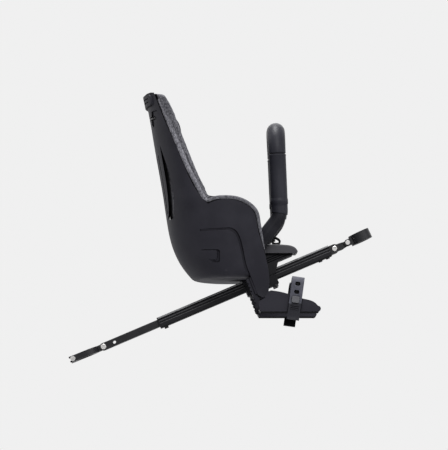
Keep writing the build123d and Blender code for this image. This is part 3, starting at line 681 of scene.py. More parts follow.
FINISHES: dict[str, Finish] = {
    finish.name: finish
    for finish in (
        MouldedPlastic("shell_plastic", (0.019, 0.0185, 0.0243), 0.5, gloss=0.08, shade_reach=14 * MM),
        # Tray plastic with painted shade on faces that point down.
        MouldedPlastic(
            "tray_plastic", (0.021, 0.0205, 0.0265), 0.5, gloss=0.08, shade_reach=14 * MM, painted_underside_shade=0.9
        ),
        MouldedPlastic("pommel_plastic", (0.042, 0.0412, 0.047), 0.48, 0.7 * MM),
        MouldedPlastic("bracket_plastic", (0.006, 0.006, 0.0075), 0.55, 0.7 * MM, gloss=0.15),
        # One knit in three tones: the wing roll painted lighter for the light on it, the pad and the arm
        # roll painted darker for the shade on them.
        HeatherKnit("pad_fabric", (0.19, 0.188, 0.208), (0.026, 0.026, 0.032)),
        HeatherKnit("wing_roll_knit_painted_light", (0.29, 0.286, 0.316), (0.05, 0.05, 0.06), shade_reach=5 * MM),
        HeatherKnit("arm_roll_knit_painted_shade", (0.19, 0.188, 0.209), (0.05, 0.05, 0.058), shade_reach=6 * MM),
        SoftFoam("grip_foam", (0.0145, 0.0147, 0.0205)),
        SatinMetal("hoop_metal", (0.011, 0.011, 0.0145), 0.42, gloss=0.1),
        Webbing("webbing", (0.01, 0.01, 0.012), (0.003, 0.003, 0.0035)),
        HeatherKnit("shoulder_fabric", (0.11, 0.108, 0.124), (0.024, 0.024, 0.029)),
        MouldedPlastic("buckle_plastic", (0.007, 0.007, 0.008), 0.34, 0.6 * MM, 0.02 * MM),
        MouldedPlastic("button_plastic", (0.36, 0.015, 0.012), 0.36, 0.6 * MM, 0.02 * MM, 0.8 * MM, 1.2),
        StrapRubber("strap_rubber", (0.07, 0.071, 0.09), (0.014, 0.014, 0.019), lower_top=95 * MM),
        MouldedPlastic("stud_plastic", (0.085, 0.085, 0.094), 0.42),
        SatinMetal("rail_metal", (0.006, 0.006, 0.0075), 0.4, edge_width=1.2 * MM),
        GroovedRail(
            "grooved_rail", (0.0065, 0.0065, 0.008), foot=(38.48 * MM, 15.55 * MM), pitch=RAIL_PITCH,
            groove=0.6 * MM, groove_half=1.7 * MM, lip=0.9 * MM, crown=11.2 * MM,
        ),
        MouldedRubber("liner_rubber", (0.008, 0.008, 0.009)),
        BrightSteel("bright_steel", (0.62, 0.61, 0.6)),
        SatinMetal("dark_steel", (0.016, 0.016, 0.018), 0.36, 0.0),
    )
}


class Wardrobe:
    """Finished materials by name of their finish."""

    made: ClassVar[dict[str, Material]] = {}

    @classmethod
    def material(cls, finish: str) -> Material:
        """Material of a finish, made the first time that it is asked for."""
        if finish not in cls.made:
            cls.made[finish] = FINISHES[finish].make()
        return cls.made[finish]


# Modelling by operators


@dataclass(frozen=True)
class Ring:
    """One round cross-section of a tube, in millimetres."""

    centre: Vector
    heading: Vector
    radius: float

    def moved(self, distance: float, radius: float | None = None) -> "Ring":
        """The section further along a straight run.

        Args:
            distance: Length of the run.
            radius: New radius, if it changes.

        Returns:
            The new section.
        """
        return Ring(self.centre + self.heading * distance, self.heading, radius or self.radius)

    def swung(self, inside: Vector, bend: float, angle: float, steps: int) -> list["Ring"]:
        """Sections round a bend.

        Args:
            inside: Direction from the section to the bend's centre.
            bend: Radius of the bend.
            angle: Angle of the bend in degrees.
            steps: Number of sections.

        Returns:
            The new sections, the last one at the end of the bend.
        """
        hub = self.centre + inside * bend
        rings = []
        for step in range(1, steps + 1):
            share = math.radians(angle) * step / steps
            heading = self.heading * math.cos(share) + inside * math.sin(share)
            arm = self.heading * math.sin(share) - inside * math.cos(share)
            rings.append(Ring(hub + arm * bend, heading, self.radius))
        return rings


class Workbench:
    """Short names for the modelling operators that the pieces are made with."""

    @staticmethod
    def clear_selection() -> None:
        """Leave edit mode and deselect every object."""
        if bpy.context.object and bpy.context.object.mode != "OBJECT":
            bpy.ops.object.mode_set(mode="OBJECT")
        bpy.ops.object.select_all(action="DESELECT")

    @staticmethod
    def pick(piece: Piece) -> Piece:
        """Make one piece the only selected and active object."""
        Workbench.clear_selection()
        piece.select_set(True)
        bpy.context.view_layer.objects.active = piece
        return piece

    @staticmethod
    @contextmanager
    def editing(piece: Piece, mode: str = "VERT", select: str = "SELECT") -> Iterator[None]:
        """Edit mode for the length of a with block.

        Args:
            piece: Piece to edit.
            mode: VERT, EDGE or FACE.
            select: SELECT or DESELECT, for the whole mesh.

        Yields:
            Nothing.
        """
        Workbench.pick(piece)
        bpy.ops.object.mode_set(mode="EDIT")
        bpy.ops.mesh.select_mode(type=mode)
        bpy.ops.mesh.select_all(action=select)
        yield
        bpy.ops.object.mode_set(mode="OBJECT")

    @staticmethod
    def newest(name: str) -> Piece:
        """Name the object that an operator has just made, and give its mesh the object's turn."""
        piece = bpy.context.object
        piece.name = name
        bpy.ops.object.transform_apply(location=True, rotation=True, scale=True)
        return piece

    @staticmethod
    def places(piece: Piece) -> np.ndarray:
        """Vertex places of a piece, one row each."""
        return np.array([vertex.co for vertex in piece.data.vertices])

    @staticmethod
    def put(piece: Piece, places: np.ndarray) -> None:
        """Move the vertices of a piece.

        Args:
            piece: Piece to change.
            places: New place of each vertex.
        """
        for vertex, place in zip(piece.data.vertices, places):
            vertex.co = place

    @staticmethod
    def face_out(piece: Piece, hole_sides: int = 0) -> None:
        """Turn every face outward.

        Args:
            piece: Piece to mend.
            hole_sides: Most sides of an open end to close first; none is closed at 0.
        """
        with Workbench.editing(piece):
            if hole_sides:
                bpy.ops.mesh.fill_holes(sides=hole_sides)
            bpy.ops.mesh.normals_make_consistent(inside=False)

    @staticmethod
    def modify(piece: Piece, kind: str, **settings: object) -> None:
        """Add a modifier and apply it.

        Args:
            piece: Piece to change.
            kind: Modifier type.
            **settings: Modifier properties.
        """
        Workbench.pick(piece)
        modifier = piece.modifiers.new(kind.lower(), kind)
        for key, value in settings.items():
            setattr(modifier, key, value)
        bpy.ops.object.modifier_apply(modifier=modifier.name)

    @staticmethod
    def thicken(piece: Piece, thickness: float, edge: float) -> None:
        """Give a one-face ribbon its thickness and rounded edges.

        Args:
            piece: Ribbon to thicken.
            thickness: Thickness in millimetres.
            edge: Width of the rounding in millimetres.
        """
        Workbench.modify(piece, "SOLIDIFY", thickness=thickness * MM, offset=0.0)
        Workbench.modify(piece, "BEVEL", width=edge * MM, segments=2, limit_method="ANGLE")

    @staticmethod
    def smooth(piece: Piece, angle: float = 40.0) -> None:
        """Shade smooth except across sharp edges.

        Args:
            piece: Piece to shade.
            angle: Sharpness limit in degrees.
        """
        Workbench.pick(piece)
        bpy.ops.object.shade_smooth_by_angle(angle=math.radians(angle))

    @staticmethod
    def copy_of(node: str, name: str) -> Piece:
        """New piece with the merged mesh of a CAD node.

        Args:
            node: CAD node to copy.
            name: Name of the new piece.

        Returns:
            The new piece.
        """
        piece = bpy.data.objects.new(name, frame["nodes"][node].data.copy())
        bpy.context.scene.collection.objects.link(piece)
        piece.data.materials.clear()
        with Workbench.editing(piece):
            bpy.ops.mesh.customdata_custom_splitnormals_clear()
            bpy.ops.mesh.remove_doubles(threshold=0.01 * MM)
        return piece

    @staticmethod
    def strip(name: str, rungs: Sequence[tuple[Point, Point]]) -> Piece:
        """Ribbon made by pulling an edge from rung to rung.

        Args:
            name: Name of the new piece.
            rungs: Right and left end of each rung in millimetres.

        Returns:
            The new ribbon, one face thick.
        """
        Workbench.clear_selection()
        bpy.ops.mesh.primitive_plane_add(size=1.0)
        piece = Workbench.newest(name)
        order = sorted(range(4), key=lambda index: tuple(piece.data.vertices[index].co[:2]))
        for index, corner in zip(order, (*rungs[0], *rungs[1])):
            piece.data.vertices[index].co = Vector(corner) * MM
        newest = order[2:]
        for rung in rungs[2:]:
            with Workbench.editing(piece, "EDGE", "DESELECT"):
                # An edge picked by number is picked in object mode.
                bpy.ops.object.mode_set(mode="OBJECT")
                for edge in piece.data.edges:
                    edge.select = set(edge.vertices) == set(newest)
                bpy.ops.object.mode_set(mode="EDIT")
                bpy.ops.mesh.extrude_region_move()
            last = len(piece.data.vertices) - 1
            newest = sorted((last - 1, last), key=lambda index: piece.data.vertices[index].co.y)
            for index, point in zip(newest, rung):
                piece.data.vertices[index].co = Vector(point) * MM
        return piece

    @staticmethod
    def tube(name: str, rings: Sequence[Ring], sides: int) -> Piece:
        """Tube made by pulling a circle from ring to ring.

        Args:
            name: Name of the new piece.
            rings: Cross-sections in order, in millimetres.
            sides: Corners of the circle.

        Returns:
            The new tube, one face thick and open at its ends.
        """
        Workbench.clear_selection()
        first = rings[0]
        bpy.ops.mesh.primitive_circle_add(
            vertices=sides, radius=first.radius * MM, location=first.centre * MM,
            rotation=first.heading.to_track_quat("Z", "Y").to_euler(),
        )
        piece = Workbench.newest(name)
        bpy.ops.object.mode_set(mode="EDIT")
        bpy.ops.mesh.select_all(action="SELECT")
        for before, after in zip(rings, rings[1:]):
            bpy.ops.mesh.extrude_region_move()
            bpy.ops.object.mode_set(mode="OBJECT")
            turn = before.heading.rotation_difference(after.heading)
            for vertex in piece.data.vertices:
                if vertex.select:
                    arm = turn @ (vertex.co - before.centre * MM)
                    vertex.co = after.centre * MM + arm * (after.radius / before.radius)
            bpy.ops.object.mode_set(mode="EDIT")
        Workbench.face_out(piece)
        return piece


def smooth_line(points: Line, steps: int) -> Line:
    """Side-view curve through points.

    Args:
        points: Points in millimetres.
        steps: Pieces between neighbouring points.

    Returns:
        Points along the curve.
    """
    line = np.array(points, float)
    ahead = np.vstack([line[1:], 2 * line[-1] - line[-2]])
    behind = np.vstack([2 * line[0] - line[1], line[:-1]])
    slope = (ahead - behind) / 2
    shares = np.linspace(0, 1, steps, endpoint=False)
    curve = []
    for start in range(len(line) - 1):
        for share in shares:
            square, cube = share**2, share**3
            curve.append(
                (2 * cube - 3 * square + 1) * line[start]
                + (cube - 2 * square + share) * slope[start]
                + (3 * square - 2 * cube) * line[start + 1]
                + (cube - square) * slope[start + 1]
            )
    curve.append(line[-1])
    return [tuple(float(value) for value in point) for point in curve]


def wear(
    piece: Piece, slot: str, body: Body, *nodes: str, finish: str | None = None
) -> None:
    """Dress a new piece, attach it to its body and let it stand for CAD nodes.

    Args:
        piece: Finished piece.
        slot: Record slot whose finish it takes when no finish is given.
        body: Body that it rides on.
        *nodes: CAD nodes that it replaces.
        finish: Finish that it takes, if not the slot's own.
    """
    piece.data.materials.clear()
    piece.data.materials.append(Wardrobe.material(finish or slot))
    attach(piece, body.value)
    if nodes:
        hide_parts(*nodes)
    LOG.info("%s: %d faces", piece.name, len(piece.data.polygons))


# Pieces of the object

ROLL_SEAM = ((255, 303), (241, 314), (208, 376), (180, 443), (154, 508))
BACK_SEAM = ((62, 478), (66, 380), (74, 290))
WING_RIM = ((143.7, 503.3), (169.5, 437.7), (197.7, 370.8), (230.9, 306.5), (245.5, 292.0))
WING_RADII = (10.0, 6.6, 5.3, 4.6, 3.6)
ARM_RIM = (
    (245.5, 291.0), (269.0, 297.7), (307.0, 294.8), (335.5, 275.0), (344.0, 242.0), (355.0, 200.0)
)
ARM_RADII = (3.2, 3.8, 3.8, 3.8, 3.2, 1.2)


def surface_of(node: str) -> BVHTree:
    """Surface of a CAD node, for finding places on it."""
    mesh = frame["nodes"][node].data
    return BVHTree.FromPolygons(
        [vertex.co for vertex in mesh.vertices], [tuple(face.vertices) for face in mesh.polygons]
    )


class RigidParts:
    """CAD nodes whose shapes stay, each dressed in the finish of its record slot or its own."""

    own_finish: ClassVar[dict[str, str]] = {
        "outer_rail": "grooved_rail", "footrest_right": "tray_plastic", "footrest_left": "tray_plastic",
    }

    @classmethod
    def dress(cls) -> None:
        """Put its finish on every node."""
        for part in frame["record"]["subparts"]:
            node = frame["nodes"][part["node"]]
            node.data.materials.clear()
            finish = cls.own_finish.get(part["node"], part["material_slot"])
            node.data.materials.append(Wardrobe.material(finish))
        LOG.info("dressed %d nodes", len(frame["nodes"]))


@dataclass(frozen=True)
class Seam:
    """Sewn line of a pad, drawn in a side view or a front view."""

    points: Line
    axes: tuple[int, int]
    depth: float = 1.8 * MM
    width: float = 2.2 * MM

    def press(self, piece: Piece) -> None:
        """Press the line into the surface of a pad.

        Args:
            piece: Pad with a fine mesh.
        """
        line = np.array(smooth_line(self.points, 8)) * MM
        places = Workbench.places(piece)
        normals = np.array([vertex.normal for vertex in piece.data.vertices])
        flat = places[:, self.axes]
        nearest = np.full(len(flat), np.inf)
        for start, stop in zip(line, line[1:]):
            run = stop - start
            share = np.clip((flat - start) @ run / (run @ run), 0, 1)
            nearest = np.minimum(nearest, np.linalg.norm(flat - start - share[:, None] * run, axis=1))
        unseen = ({0, 1, 2} - set(self.axes)).pop()
        facing = np.abs(normals[:, unseen]).clip(0.3, 1.0)
        sunk = self.depth * np.exp(-((nearest / self.width) ** 2)) * facing
        Workbench.put(piece, places - normals * sunk[:, None])


@dataclass
class Cushion:
    """Foam pad under knitted fabric, swollen by a cloth simulation."""

    node: str
    name: str
    slot: str
    voxel: float = 4.5 * MM
    shrink: float = 0.9 * MM
    pressure: float = 4.0
    cap: float = 5.0 * MM
    held_within: float = 3.5 * MM
    fill: float = 0.8
    softness: int = 2
    backing: str | None = None
    seams: Sequence[Seam] = ()
    frames: int = 20

    def build(self) -> None:
        """Make the cushion in place of its CAD node."""
        piece = Workbench.copy_of(self.node, self.name)
        piece.data.remesh_voxel_size = self.voxel
        Workbench.pick(piece)
        bpy.ops.object.voxel_remesh()
        Workbench.modify(piece, "DISPLACE", strength=-self.shrink, mid_level=0.0)
        Workbench.modify(piece, "SMOOTH", factor=0.5, iterations=self.softness)
        self._inflate(piece)
        Workbench.modify(piece, "SUBSURF", levels=1, render_levels=1)
        for seam in self.seams:
            seam.press(piece)
        Workbench.smooth(piece, 75)
        wear(piece, self.slot, Body.SEAT, self.node)

    def _held(self, piece: Piece) -> list[int]:
        """Vertices that lie against the backing.

        Args:
            piece: Remeshed piece.

        Returns:
            Vertex numbers.
        """
        if self.backing is None:
            return []
        backing = surface_of(self.backing)
        return [
            vertex.index for vertex in piece.data.vertices
            if backing.find_nearest(vertex.co)[3] < self.held_within
        ]

    def _inflate(self, piece: Piece) -> None:
        """Swell the piece and cap how far each point moves.

        Args:
            piece: Remeshed piece.
        """
        rest = Workbench.places(piece)
        held = self._held(piece)
        modifier = piece.modifiers.new("cloth", "CLOTH")
        settings = modifier.settings
        settings.use_pressure = True
        settings.uniform_pressure_force = self.pressure
        settings.effector_weights.gravity = 0.0
        if held:
            group = piece.vertex_groups.new(name="held")
            group.add(held, 1.0, "REPLACE")
            settings.vertex_group_mass = group.name
        for step in range(1, self.frames + 1):
            bpy.context.scene.frame_set(step)
        Workbench.pick(piece)
        bpy.ops.object.modifier_apply(modifier=modifier.name)
        bpy.context.scene.frame_set(1)
        moved = Workbench.places(piece) - rest
        length = np.linalg.norm(moved, axis=1, keepdims=True)
        moved *= np.minimum(1.0, self.cap / np.maximum(length, 1e-9))
        Workbench.put(piece, rest + moved)


@dataclass
class RimRoll:
    """Edge of the pad, rolled along the rim of the shell on both sides."""

    name: str
    finish: str
    rim: Line
    radii: Sequence[float]
    gap: float
    inset: float
    ray_inset: float = 4.0
    ray_start: float = 400.0
    steps: int = 8
    sides: int = 20

    def build(self) -> None:
        """Make the roll of both sides."""
        shell = surface_of("seat_shell")
        for side in Side:
            piece = Workbench.tube(f"{self.name}_{side.word}", self._rings(shell, side), self.sides)
            Workbench.face_out(piece, self.sides)
            Workbench.modify(piece, "SUBSURF", levels=1, render_levels=1)
            Workbench.smooth(piece, 75)
            wear(piece, "pad_fabric", Body.SEAT, finish=self.finish)

    def _rings(self, shell: BVHTree, side: Side) -> list[Ring]:
        """Sections of one roll.

        Args:
            shell: Surface of the seat shell.
            side: Rider's side.

        Returns:
            Sections in the order of the rim's points.
        """
        line = np.array(smooth_line(self.rim, self.steps))
        spread = np.linspace(0, len(self.radii) - 1, len(line))
        radii = np.interp(spread, range(len(self.radii)), self.radii)
        run = np.gradient(line, axis=0)
        outward = np.stack([-run[:, 1], run[:, 0]], axis=1) / np.linalg.norm(run, axis=1, keepdims=True)
        centres = []
        for (x, z), (out_x, out_z), radius in zip(line, outward, radii):
            ray_x, ray_z = x - out_x * self.ray_inset, z - out_z * self.ray_inset
            start = Vector((ray_x, side.value * self.ray_start, ray_z)) * MM
            wall = shell.ray_cast(start, Vector((0, -side.value, 0)))[0].y / MM
            reach = radius + self.gap
            centres.append((x + out_x * reach, wall - side.value * self.inset, z + out_z * reach))
        headings = np.gradient(np.array(centres), axis=0)
        return [
            Ring(Vector(centre), Vector(heading).normalized(), float(radius))
            for centre, heading, radius in zip(centres, headings, radii)
        ]


@dataclass
class Strap:
    """Woven strap that follows a side-view line."""

    name: str
    node: str
    line: Line
    middle: float
    width: float
    thick: float
    steps: int = 6

    def build(self) -> None:
        """Make the strap in place of its CAD node."""
        curve = smooth_line(self.line, self.steps)
        low, high = self.middle - self.width / 2, self.middle + self.width / 2
        piece = Workbench.strip(self.name, [((x, low, z), (x, high, z)) for x, z in curve])
        Workbench.face_out(piece)
        Workbench.thicken(piece, self.thick, 0.35 * self.thick)
        self._map(piece, curve)
        Workbench.smooth(piece, 50)
        wear(piece, "webbing", Body.SEAT, self.node)

    def _map(self, piece: Piece, curve: Line) -> None:
        """Give the strap a UV map in metres.

        Args:
            piece: Thickened strap.
            curve: Line that the strap follows.
        """
        line = np.array(curve) * MM
        run = np.concatenate([[0], np.cumsum(np.linalg.norm(np.diff(line, axis=0), axis=1))])
        layer = piece.data.uv_layers.get("strap") or piece.data.uv_layers.new(name="strap")
        for loop in piece.data.loops:
            place = piece.data.vertices[loop.vertex_index].co
            nearest = int(np.argmin((line[:, 0] - place.x) ** 2 + (line[:, 1] - place.z) ** 2))
            layer.data[loop.index].uv = (place.y - self.middle * MM, run[nearest])


@dataclass
class Harness:
    """Shoulder straps with pads, crotch strap and the loose tail of its adjuster."""

    shoulder_y: float = 40.0
    web_width: float = 25.0
    web_thick: float = 2.0
    tail_width: float = 20.0
    tail_thick: float = 3.6
    shoulder_line: Line = (
        (137, 468), (150, 468), (176, 466), (188, 446), (184, 410), (180.5, 372), (180.5, 335),
        (187, 290), (198.5, 230), (211, 197), (226, 178), (234, 175.5),
    )
    tail_line: Line = (
        (279.6, 180.5), (289.5, 188.5), (303, 202), (320, 213), (342, 219.5), (357, 223), (364, 228.5),
        (372, 232.5), (381, 232.5), (388, 228.5), (389, 223), (383, 220.8), (376.5, 222), (375, 226),
        (380, 228.2),
    )
    crotch_line: Line = ((274, 154), (274, 164), (274, 175))
    bar_x: float = 136.8
    bar_radius: float = 1.8
    bar_length: float = 34.0
    bar_turn: float = 19.0
    tongue_x: tuple[float, ...] = (231.0, 236.0, 249.0, 260.0)
    tongue_z: float = 175.5
    tongue_half: float = 6.0
    tongue_thick: float = 2.0

    def build(self) -> None:
        """Make every strap and pad."""
        for side in Side:
            self._shoulder(side)
        self._anchor_bars()
        web = (self.web_width, self.web_thick)
        Strap("crotch_webbing", "crotch_strap", self.crotch_line, 0, *web).build()
        Strap("tail_webbing", "strap_tail", self.tail_line, 0, self.tail_width, self.tail_thick).build()

    def _shoulder(self, side: Side) -> None:
        """Make one shoulder strap with its tongue and pad.

        Args:
            side: Rider's side.
        """
        Strap(
            f"shoulder_webbing_{side.word}", f"shoulder_strap_{side.word}", self.shoulder_line,
            side.value * self.shoulder_y, self.web_width, self.web_thick,
        ).build()
        self._tongue(side)
        Cushion(
            f"shoulder_pad_{side.word}", f"shoulder_cushion_{side.word}", "shoulder_fabric",
            voxel=3.0 * MM, shrink=0.6 * MM, cap=2.2 * MM, fill=0.7,
        ).build()

    def _anchor_bars(self) -> None:
        """Make the bars behind the shell that the shoulder straps hang on."""
        Workbench.clear_selection()
        middle = Vector((self.bar_x, -self.shoulder_y, self.shoulder_line[0][1]))
        bpy.ops.mesh.primitive_cylinder_add(
            vertices=24, radius=self.bar_radius * MM, depth=self.bar_length * MM, location=middle * MM,
            rotation=(math.radians(90), 0, math.radians(self.bar_turn)),
        )
        bars = Workbench.newest("shoulder_anchor_bars")
        Workbench.modify(bars, "BEVEL", width=0.5 * MM, segments=2, limit_method="ANGLE")
        Workbench.modify(bars, "MIRROR", use_axis=(False, True, False))
        Workbench.smooth(bars, 45)
        wear(bars, "dark_steel", Body.SEAT, "strap_anchor_bars")

    def _tongue(self, side: Side) -> None:
        """Make the plate that joins a shoulder strap to the buckle.

        Args:
            side: Rider's side.
        """
        wide, narrow = self.web_width / 2, self.tongue_half
        stations = (
            (self.shoulder_y, wide), (self.shoulder_y - 3, wide), (2 * narrow, narrow), (2 * narrow, narrow)
        )
        rungs = []
        for x, (middle, reach) in zip(self.tongue_x, stations):
            ends = sorted((side.value * (middle - reach), side.value * (middle + reach)))
            rungs.append([(x, end, self.tongue_z) for end in ends])
        piece = Workbench.strip(f"buckle_tongue_{side.word}", rungs)
        Workbench.thicken(piece, self.tongue_thick, 0.3 * self.tongue_thick)
        Workbench.smooth(piece, 45)
        wear(piece, "buckle_plastic", Body.SEAT)


@dataclass
class FoamSleeves:
    """Foam over the handle hoop: one sleeve over the top and one on each leg."""

    half: float = 48.5
    bend: float = 40.0
    elbow: tuple[float, float] = (388.5, 271.0)
    top: tuple[float, float] = (381.5, 442.0)
    radius: float = 17.2
    wall: float = 1.6
    split: float = 397.2
    seam: float = 1.4
    rim: tuple[float, float, float] = (1.6, 3.2, 4.4)
    plain: tuple[float, float] = (360.0, 330.0)
    band: tuple[float, float] = (296.0, 306.5)
    band_proud: float = 0.5
    cuff_radius: float = 16.7
    cuff_end: float = 285.6
    cuff_angle: float = 12.0
    cuff_steps: int = 4
    sides: int = 56
    lip: float = 0.7
    arch_steps: int = 14
    crown_rise: float = 2.8
    crown_swell: float = 1.2

    @property
    def up(self) -> Vector:
        """Direction of the legs."""
        return Vector((self.top[0] - self.elbow[0], 0.0, self.top[1] - self.elbow[1])).normalized()

    def build(self) -> None:
        """Make the three sleeves."""
        self._over_top()
        for side in Side:
            self._on_leg(side)

    def _leg_centre(self, side: Side, height: float) -> Vector:
        """Point on the middle line of a leg.

        Args:
            side: Rider's side.
            height: Height of the point.

        Returns:
            The point.
        """
        rise = height - self.elbow[1]
        return Vector((self.elbow[0] + self.up.x / self.up.z * rise, side.value * self.half, height))

    def _over_top(self) -> None:
        """Make the sleeve over the top."""
        up = self.up
        start = Ring(self._leg_centre(Side.RIGHT, self.split), up, self.radius)
        across = Vector((0.0, 1.0, 0.0))
        run = (self.top[1] - self.split) / up.z - self.bend
        first = start.moved(run)
        first_bend = first.swung(across, self.bend, 90.0, self.arch_steps)
        second = first_bend[-1].moved(2 * (self.half - self.bend))
        second_bend = second.swung(-up, self.bend, 90.0, self.arch_steps)
        arch = [*first_bend, second, *second_bend]
        crowned = []
        for ring in arch:
            share = math.sqrt(max(0.0, 1 - abs(ring.heading.dot(up))))
            centre = ring.centre + up * self.crown_rise * share
            crowned.append(Ring(centre, ring.heading, self.radius + self.crown_swell * share))
        rings = [start, start.moved(run / 2), first, *crowned, second_bend[-1].moved(run)]
        self._finish(Workbench.tube("handle_top_foam", rings, self.sides), "handle_top_sleeve")

    def _on_leg(self, side: Side) -> None:
        """Make the sleeve of one leg, with the raised band and the cuff at its lower end.

        Args:
            side: Rider's side.
        """
        up = self.up
        start = self.split - self.seam
        down = Ring(self._leg_centre(side, start), -up, self.radius)
        low, high = self.band
        proud = self.radius + self.band_proud
        waist = self.radius - 0.2
        stations = (
            (start, self.radius - self.lip), (start - self.rim[0], proud),
            (start - self.rim[1], proud), (start - self.rim[2], self.radius),
            *((height, self.radius) for height in self.plain),
            (high + 1.2, waist), (high + 0.3, waist), (high - 0.5, proud), (low + 0.5, proud),
            (low - 0.3, self.cuff_radius), (low - 6.0, self.cuff_radius),
            (self.cuff_end, self.cuff_radius),
        )
        rings = [down.moved((start - height) / up.z, radius) for height, radius in stations]
        inside = Vector((-up.z, 0.0, up.x))
        rings += rings[-1].swung(inside, self.bend, self.cuff_angle, self.cuff_steps)
        piece = Workbench.tube(f"handle_foam_{side.word}", rings, self.sides)
        self._finish(piece, f"handle_{side.word}_sleeve")

    def _finish(self, piece: Piece, node: str) -> None:
        """Give a sleeve its wall, rounded lips and finish.

        Args:
            piece: Tube that follows the hoop.
            node: CAD node that it replaces.
        """
        Workbench.modify(piece, "SOLIDIFY", thickness=self.wall * MM, offset=-1.0)
        Workbench.modify(
            piece, "BEVEL", width=self.lip * MM, segments=3, limit_method="ANGLE",
            angle_limit=math.radians(60),
        )
        Workbench.smooth(piece, 60)
        wear(piece, "grip_foam", Body.SEAT, node)


@dataclass
class FootStraps:
    """Rubber straps over the shoes, with the lap of their other end behind the holes."""

    edge: float = 0.7
    stud: tuple[float, float] = (417.0, 102.0)
    lean: float = 8.0
    lap: tuple[float, ...] = (9.0, 24.0, 39.0)
    lap_width: float = 20.0
    lap_y: float = 132.2
    lap_thick: float = 1.2
    end: float = -40.0

    @property
    def along(self) -> Vector:
        """Direction up the leaning strap."""
        turn = math.radians(self.lean)
        return Vector((math.sin(turn), 0.0, math.cos(turn)))

    def build(self) -> None:
        """Make both straps."""
        for side in Side:
            node = f"foot_strap_{side.word}"
            piece = Workbench.copy_of(node, f"shoe_strap_{side.word}")
            self._trim(piece)
            Workbench.modify(
                piece, "BEVEL", width=self.edge * MM, segments=2, limit_method="ANGLE", angle_limit=0.7
            )
            Workbench.smooth(piece, 40)
            wear(piece, "strap_rubber", side.footrest, node)
            self._lap(side)

    def _trim(self, piece: Piece) -> None:
        """Join the flat faces of a strap and cut its hanging end to length.

        Args:
            piece: Strap to cut.
        """
        foot = (Vector((self.stud[0], 0, self.stud[1])) + self.along * self.end) * MM
        with Workbench.editing(piece, "FACE"):
            bpy.ops.mesh.dissolve_limited(angle_limit=math.radians(1.0))
        with Workbench.editing(piece, "FACE"):
            bpy.ops.mesh.bisect(plane_co=foot, plane_no=self.along, use_fill=True, clear_inner=True)

    def _lap(self, side: Side) -> None:
        """Make the end of the strap that lies behind the holes, painted black as the shade seen through
        them.

        Args:
            side: Rider's side.
        """
        foot = Vector((self.stud[0], side.value * self.lap_y, self.stud[1]))
        half = Vector((self.along.z, 0.0, -self.along.x)) * self.lap_width / 2
        centres = [foot + self.along * up for up in self.lap]
        rungs = [(centre - half, centre + half) for centre in centres]
        piece = Workbench.strip(f"strap_lap_{side.word}", rungs)
        Workbench.modify(piece, "SOLIDIFY", thickness=self.lap_thick * MM, offset=0.0)
        Workbench.smooth(piece, 40)
        # Near-black rubber with painted shade: the sheet stands in for the shadow behind the holes.
        wear(piece, "liner_rubber", side.footrest)


@dataclass(frozen=True)
class Lamp:
    """Square softbox: its place and edge length in metres and its power in watts."""

    name: str
    place: Point
    size: float
    power: float


LAMPS = (
    Lamp("key_softbox", (0.7, -2.4, 2.0), 1.6, 56.0),
    Lamp("top_softbox", (0.1, 0.35, 2.8), 1.0, 82.0),
    Lamp("front_softbox", (2.7, -1.6, 0.9), 1.6, 14.0),
    Lamp("rear_softbox", (-2.6, 0.8, 1.4), 1.6, 16.0),
    Lamp("far_softbox", (0.4, 2.6, 1.6), 1.8, 18.0),
)


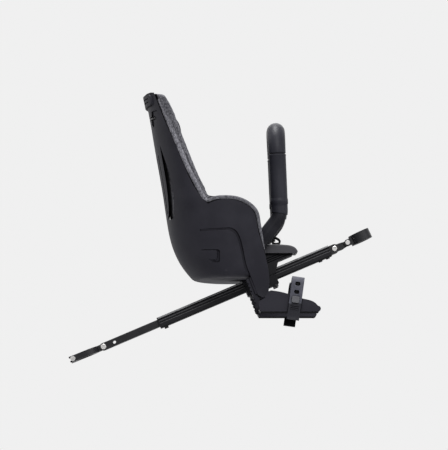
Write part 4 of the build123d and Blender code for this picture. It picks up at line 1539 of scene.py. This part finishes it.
@dataclass
class Studio:
    """Floor, light and camera."""

    floor_place: Point = (0.3, 0.0, -0.78)
    floor_size: float = 14.0
    background: float = 0.871
    ambient: float = 0.17
    ambient_tint: Colour = (0.95, 0.97, 1.0)
    target: Point = (0.278, 0.0, 0.259)
    distance: float = 5.0
    elevation: float = -5.0
    lens: float = 200.0

    def build(self) -> None:
        """Set the stage."""
        bpy.context.scene.view_settings.view_transform = "Standard"
        self._world()
        self._floor()
        for lamp in LAMPS:
            self._hang(lamp)
        self._camera()

    def _world(self) -> None:
        """Grey surroundings that look pale to the camera."""
        world = bpy.data.worlds.new("studio")
        bpy.context.scene.world = world
        graph = Graph(world)
        inputs = {"Color": graph.opaque(self.ambient_tint), "Strength": self.ambient}
        light = graph.node("ShaderNodeBackground", {}, inputs)
        pale = graph.node("ShaderNodeBackground", {}, {"Color": graph.opaque((self.background,) * 3)})
        rays = ("Camera", "Glossy", "Transmission")
        camera, glossy, passing = (graph.node("ShaderNodeLightPath", out=f"Is {ray} Ray") for ray in rays)
        mix = graph.node("ShaderNodeMixShader", {}, {0: camera + glossy + passing, 1: light, 2: pale})
        graph.end(mix, "ShaderNodeOutputWorld")

    def _floor(self) -> None:
        """Plain pale floor far below the seat."""
        Workbench.clear_selection()
        bpy.ops.mesh.primitive_plane_add(size=self.floor_size, location=self.floor_place)
        floor = bpy.context.object
        floor.name = "floor"
        graph = Graph.of_material("floor_paint")
        level = graph.noise(0.9, 2.0)
        floor.data.materials.append(graph.surface({
            "Base Color": graph.blend(level, (0.84, 0.84, 0.84), (0.86, 0.86, 0.86)),
            "Roughness": 0.9,
        }))

    def _hang(self, lamp: Lamp) -> None:
        """Aim a softbox at the seat.

        Args:
            lamp: Softbox to hang.
        """
        light = bpy.data.lights.new(lamp.name, "AREA")
        light.size = lamp.size
        light.energy = lamp.power
        holder = bpy.data.objects.new(lamp.name, light)
        holder.location = lamp.place
        aim = Vector(self.target) - Vector(lamp.place)
        holder.rotation_euler = aim.to_track_quat("-Z", "Y").to_euler()
        bpy.context.scene.collection.objects.link(holder)

    def _camera(self) -> None:
        """Camera at the photograph's angle."""
        rise = math.radians(self.elevation)
        back = Vector((0.0, -math.cos(rise), math.sin(rise))) * self.distance
        data = bpy.data.cameras.new("camera")
        data.lens = self.lens
        camera = bpy.data.objects.new("camera", data)
        camera.location = Vector(self.target) + back
        camera.rotation_euler = (-back).to_track_quat("-Z", "Y").to_euler()
        bpy.context.scene.collection.objects.link(camera)
        bpy.context.scene.camera = camera


def main() -> None:
    """Build the looks in order."""
    logging.basicConfig(level=logging.INFO, format="%(name)s %(message)s")
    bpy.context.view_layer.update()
    Studio().build()
    RigidParts.dress()
    back_seams = [Seam(tuple((side.value * y, z) for y, z in BACK_SEAM), (1, 2)) for side in Side]
    Cushion(
        "seat_pad", "seat_cushion", "pad_fabric", shrink=2.6 * MM, cap=4.0 * MM, softness=6,
        backing="seat_shell", seams=(Seam(ROLL_SEAM, (0, 2)), *back_seams),
    ).build()
    RimRoll("wing_roll", "wing_roll_knit_painted_light", WING_RIM, WING_RADII, gap=-0.4, inset=2.8).build()
    RimRoll("arm_roll", "arm_roll_knit_painted_shade", ARM_RIM, ARM_RADII, gap=1.0, inset=1.6).build()
    Harness().build()
    FoamSleeves().build()
    FootStraps().build()


if __name__ == "__main__":
    main()
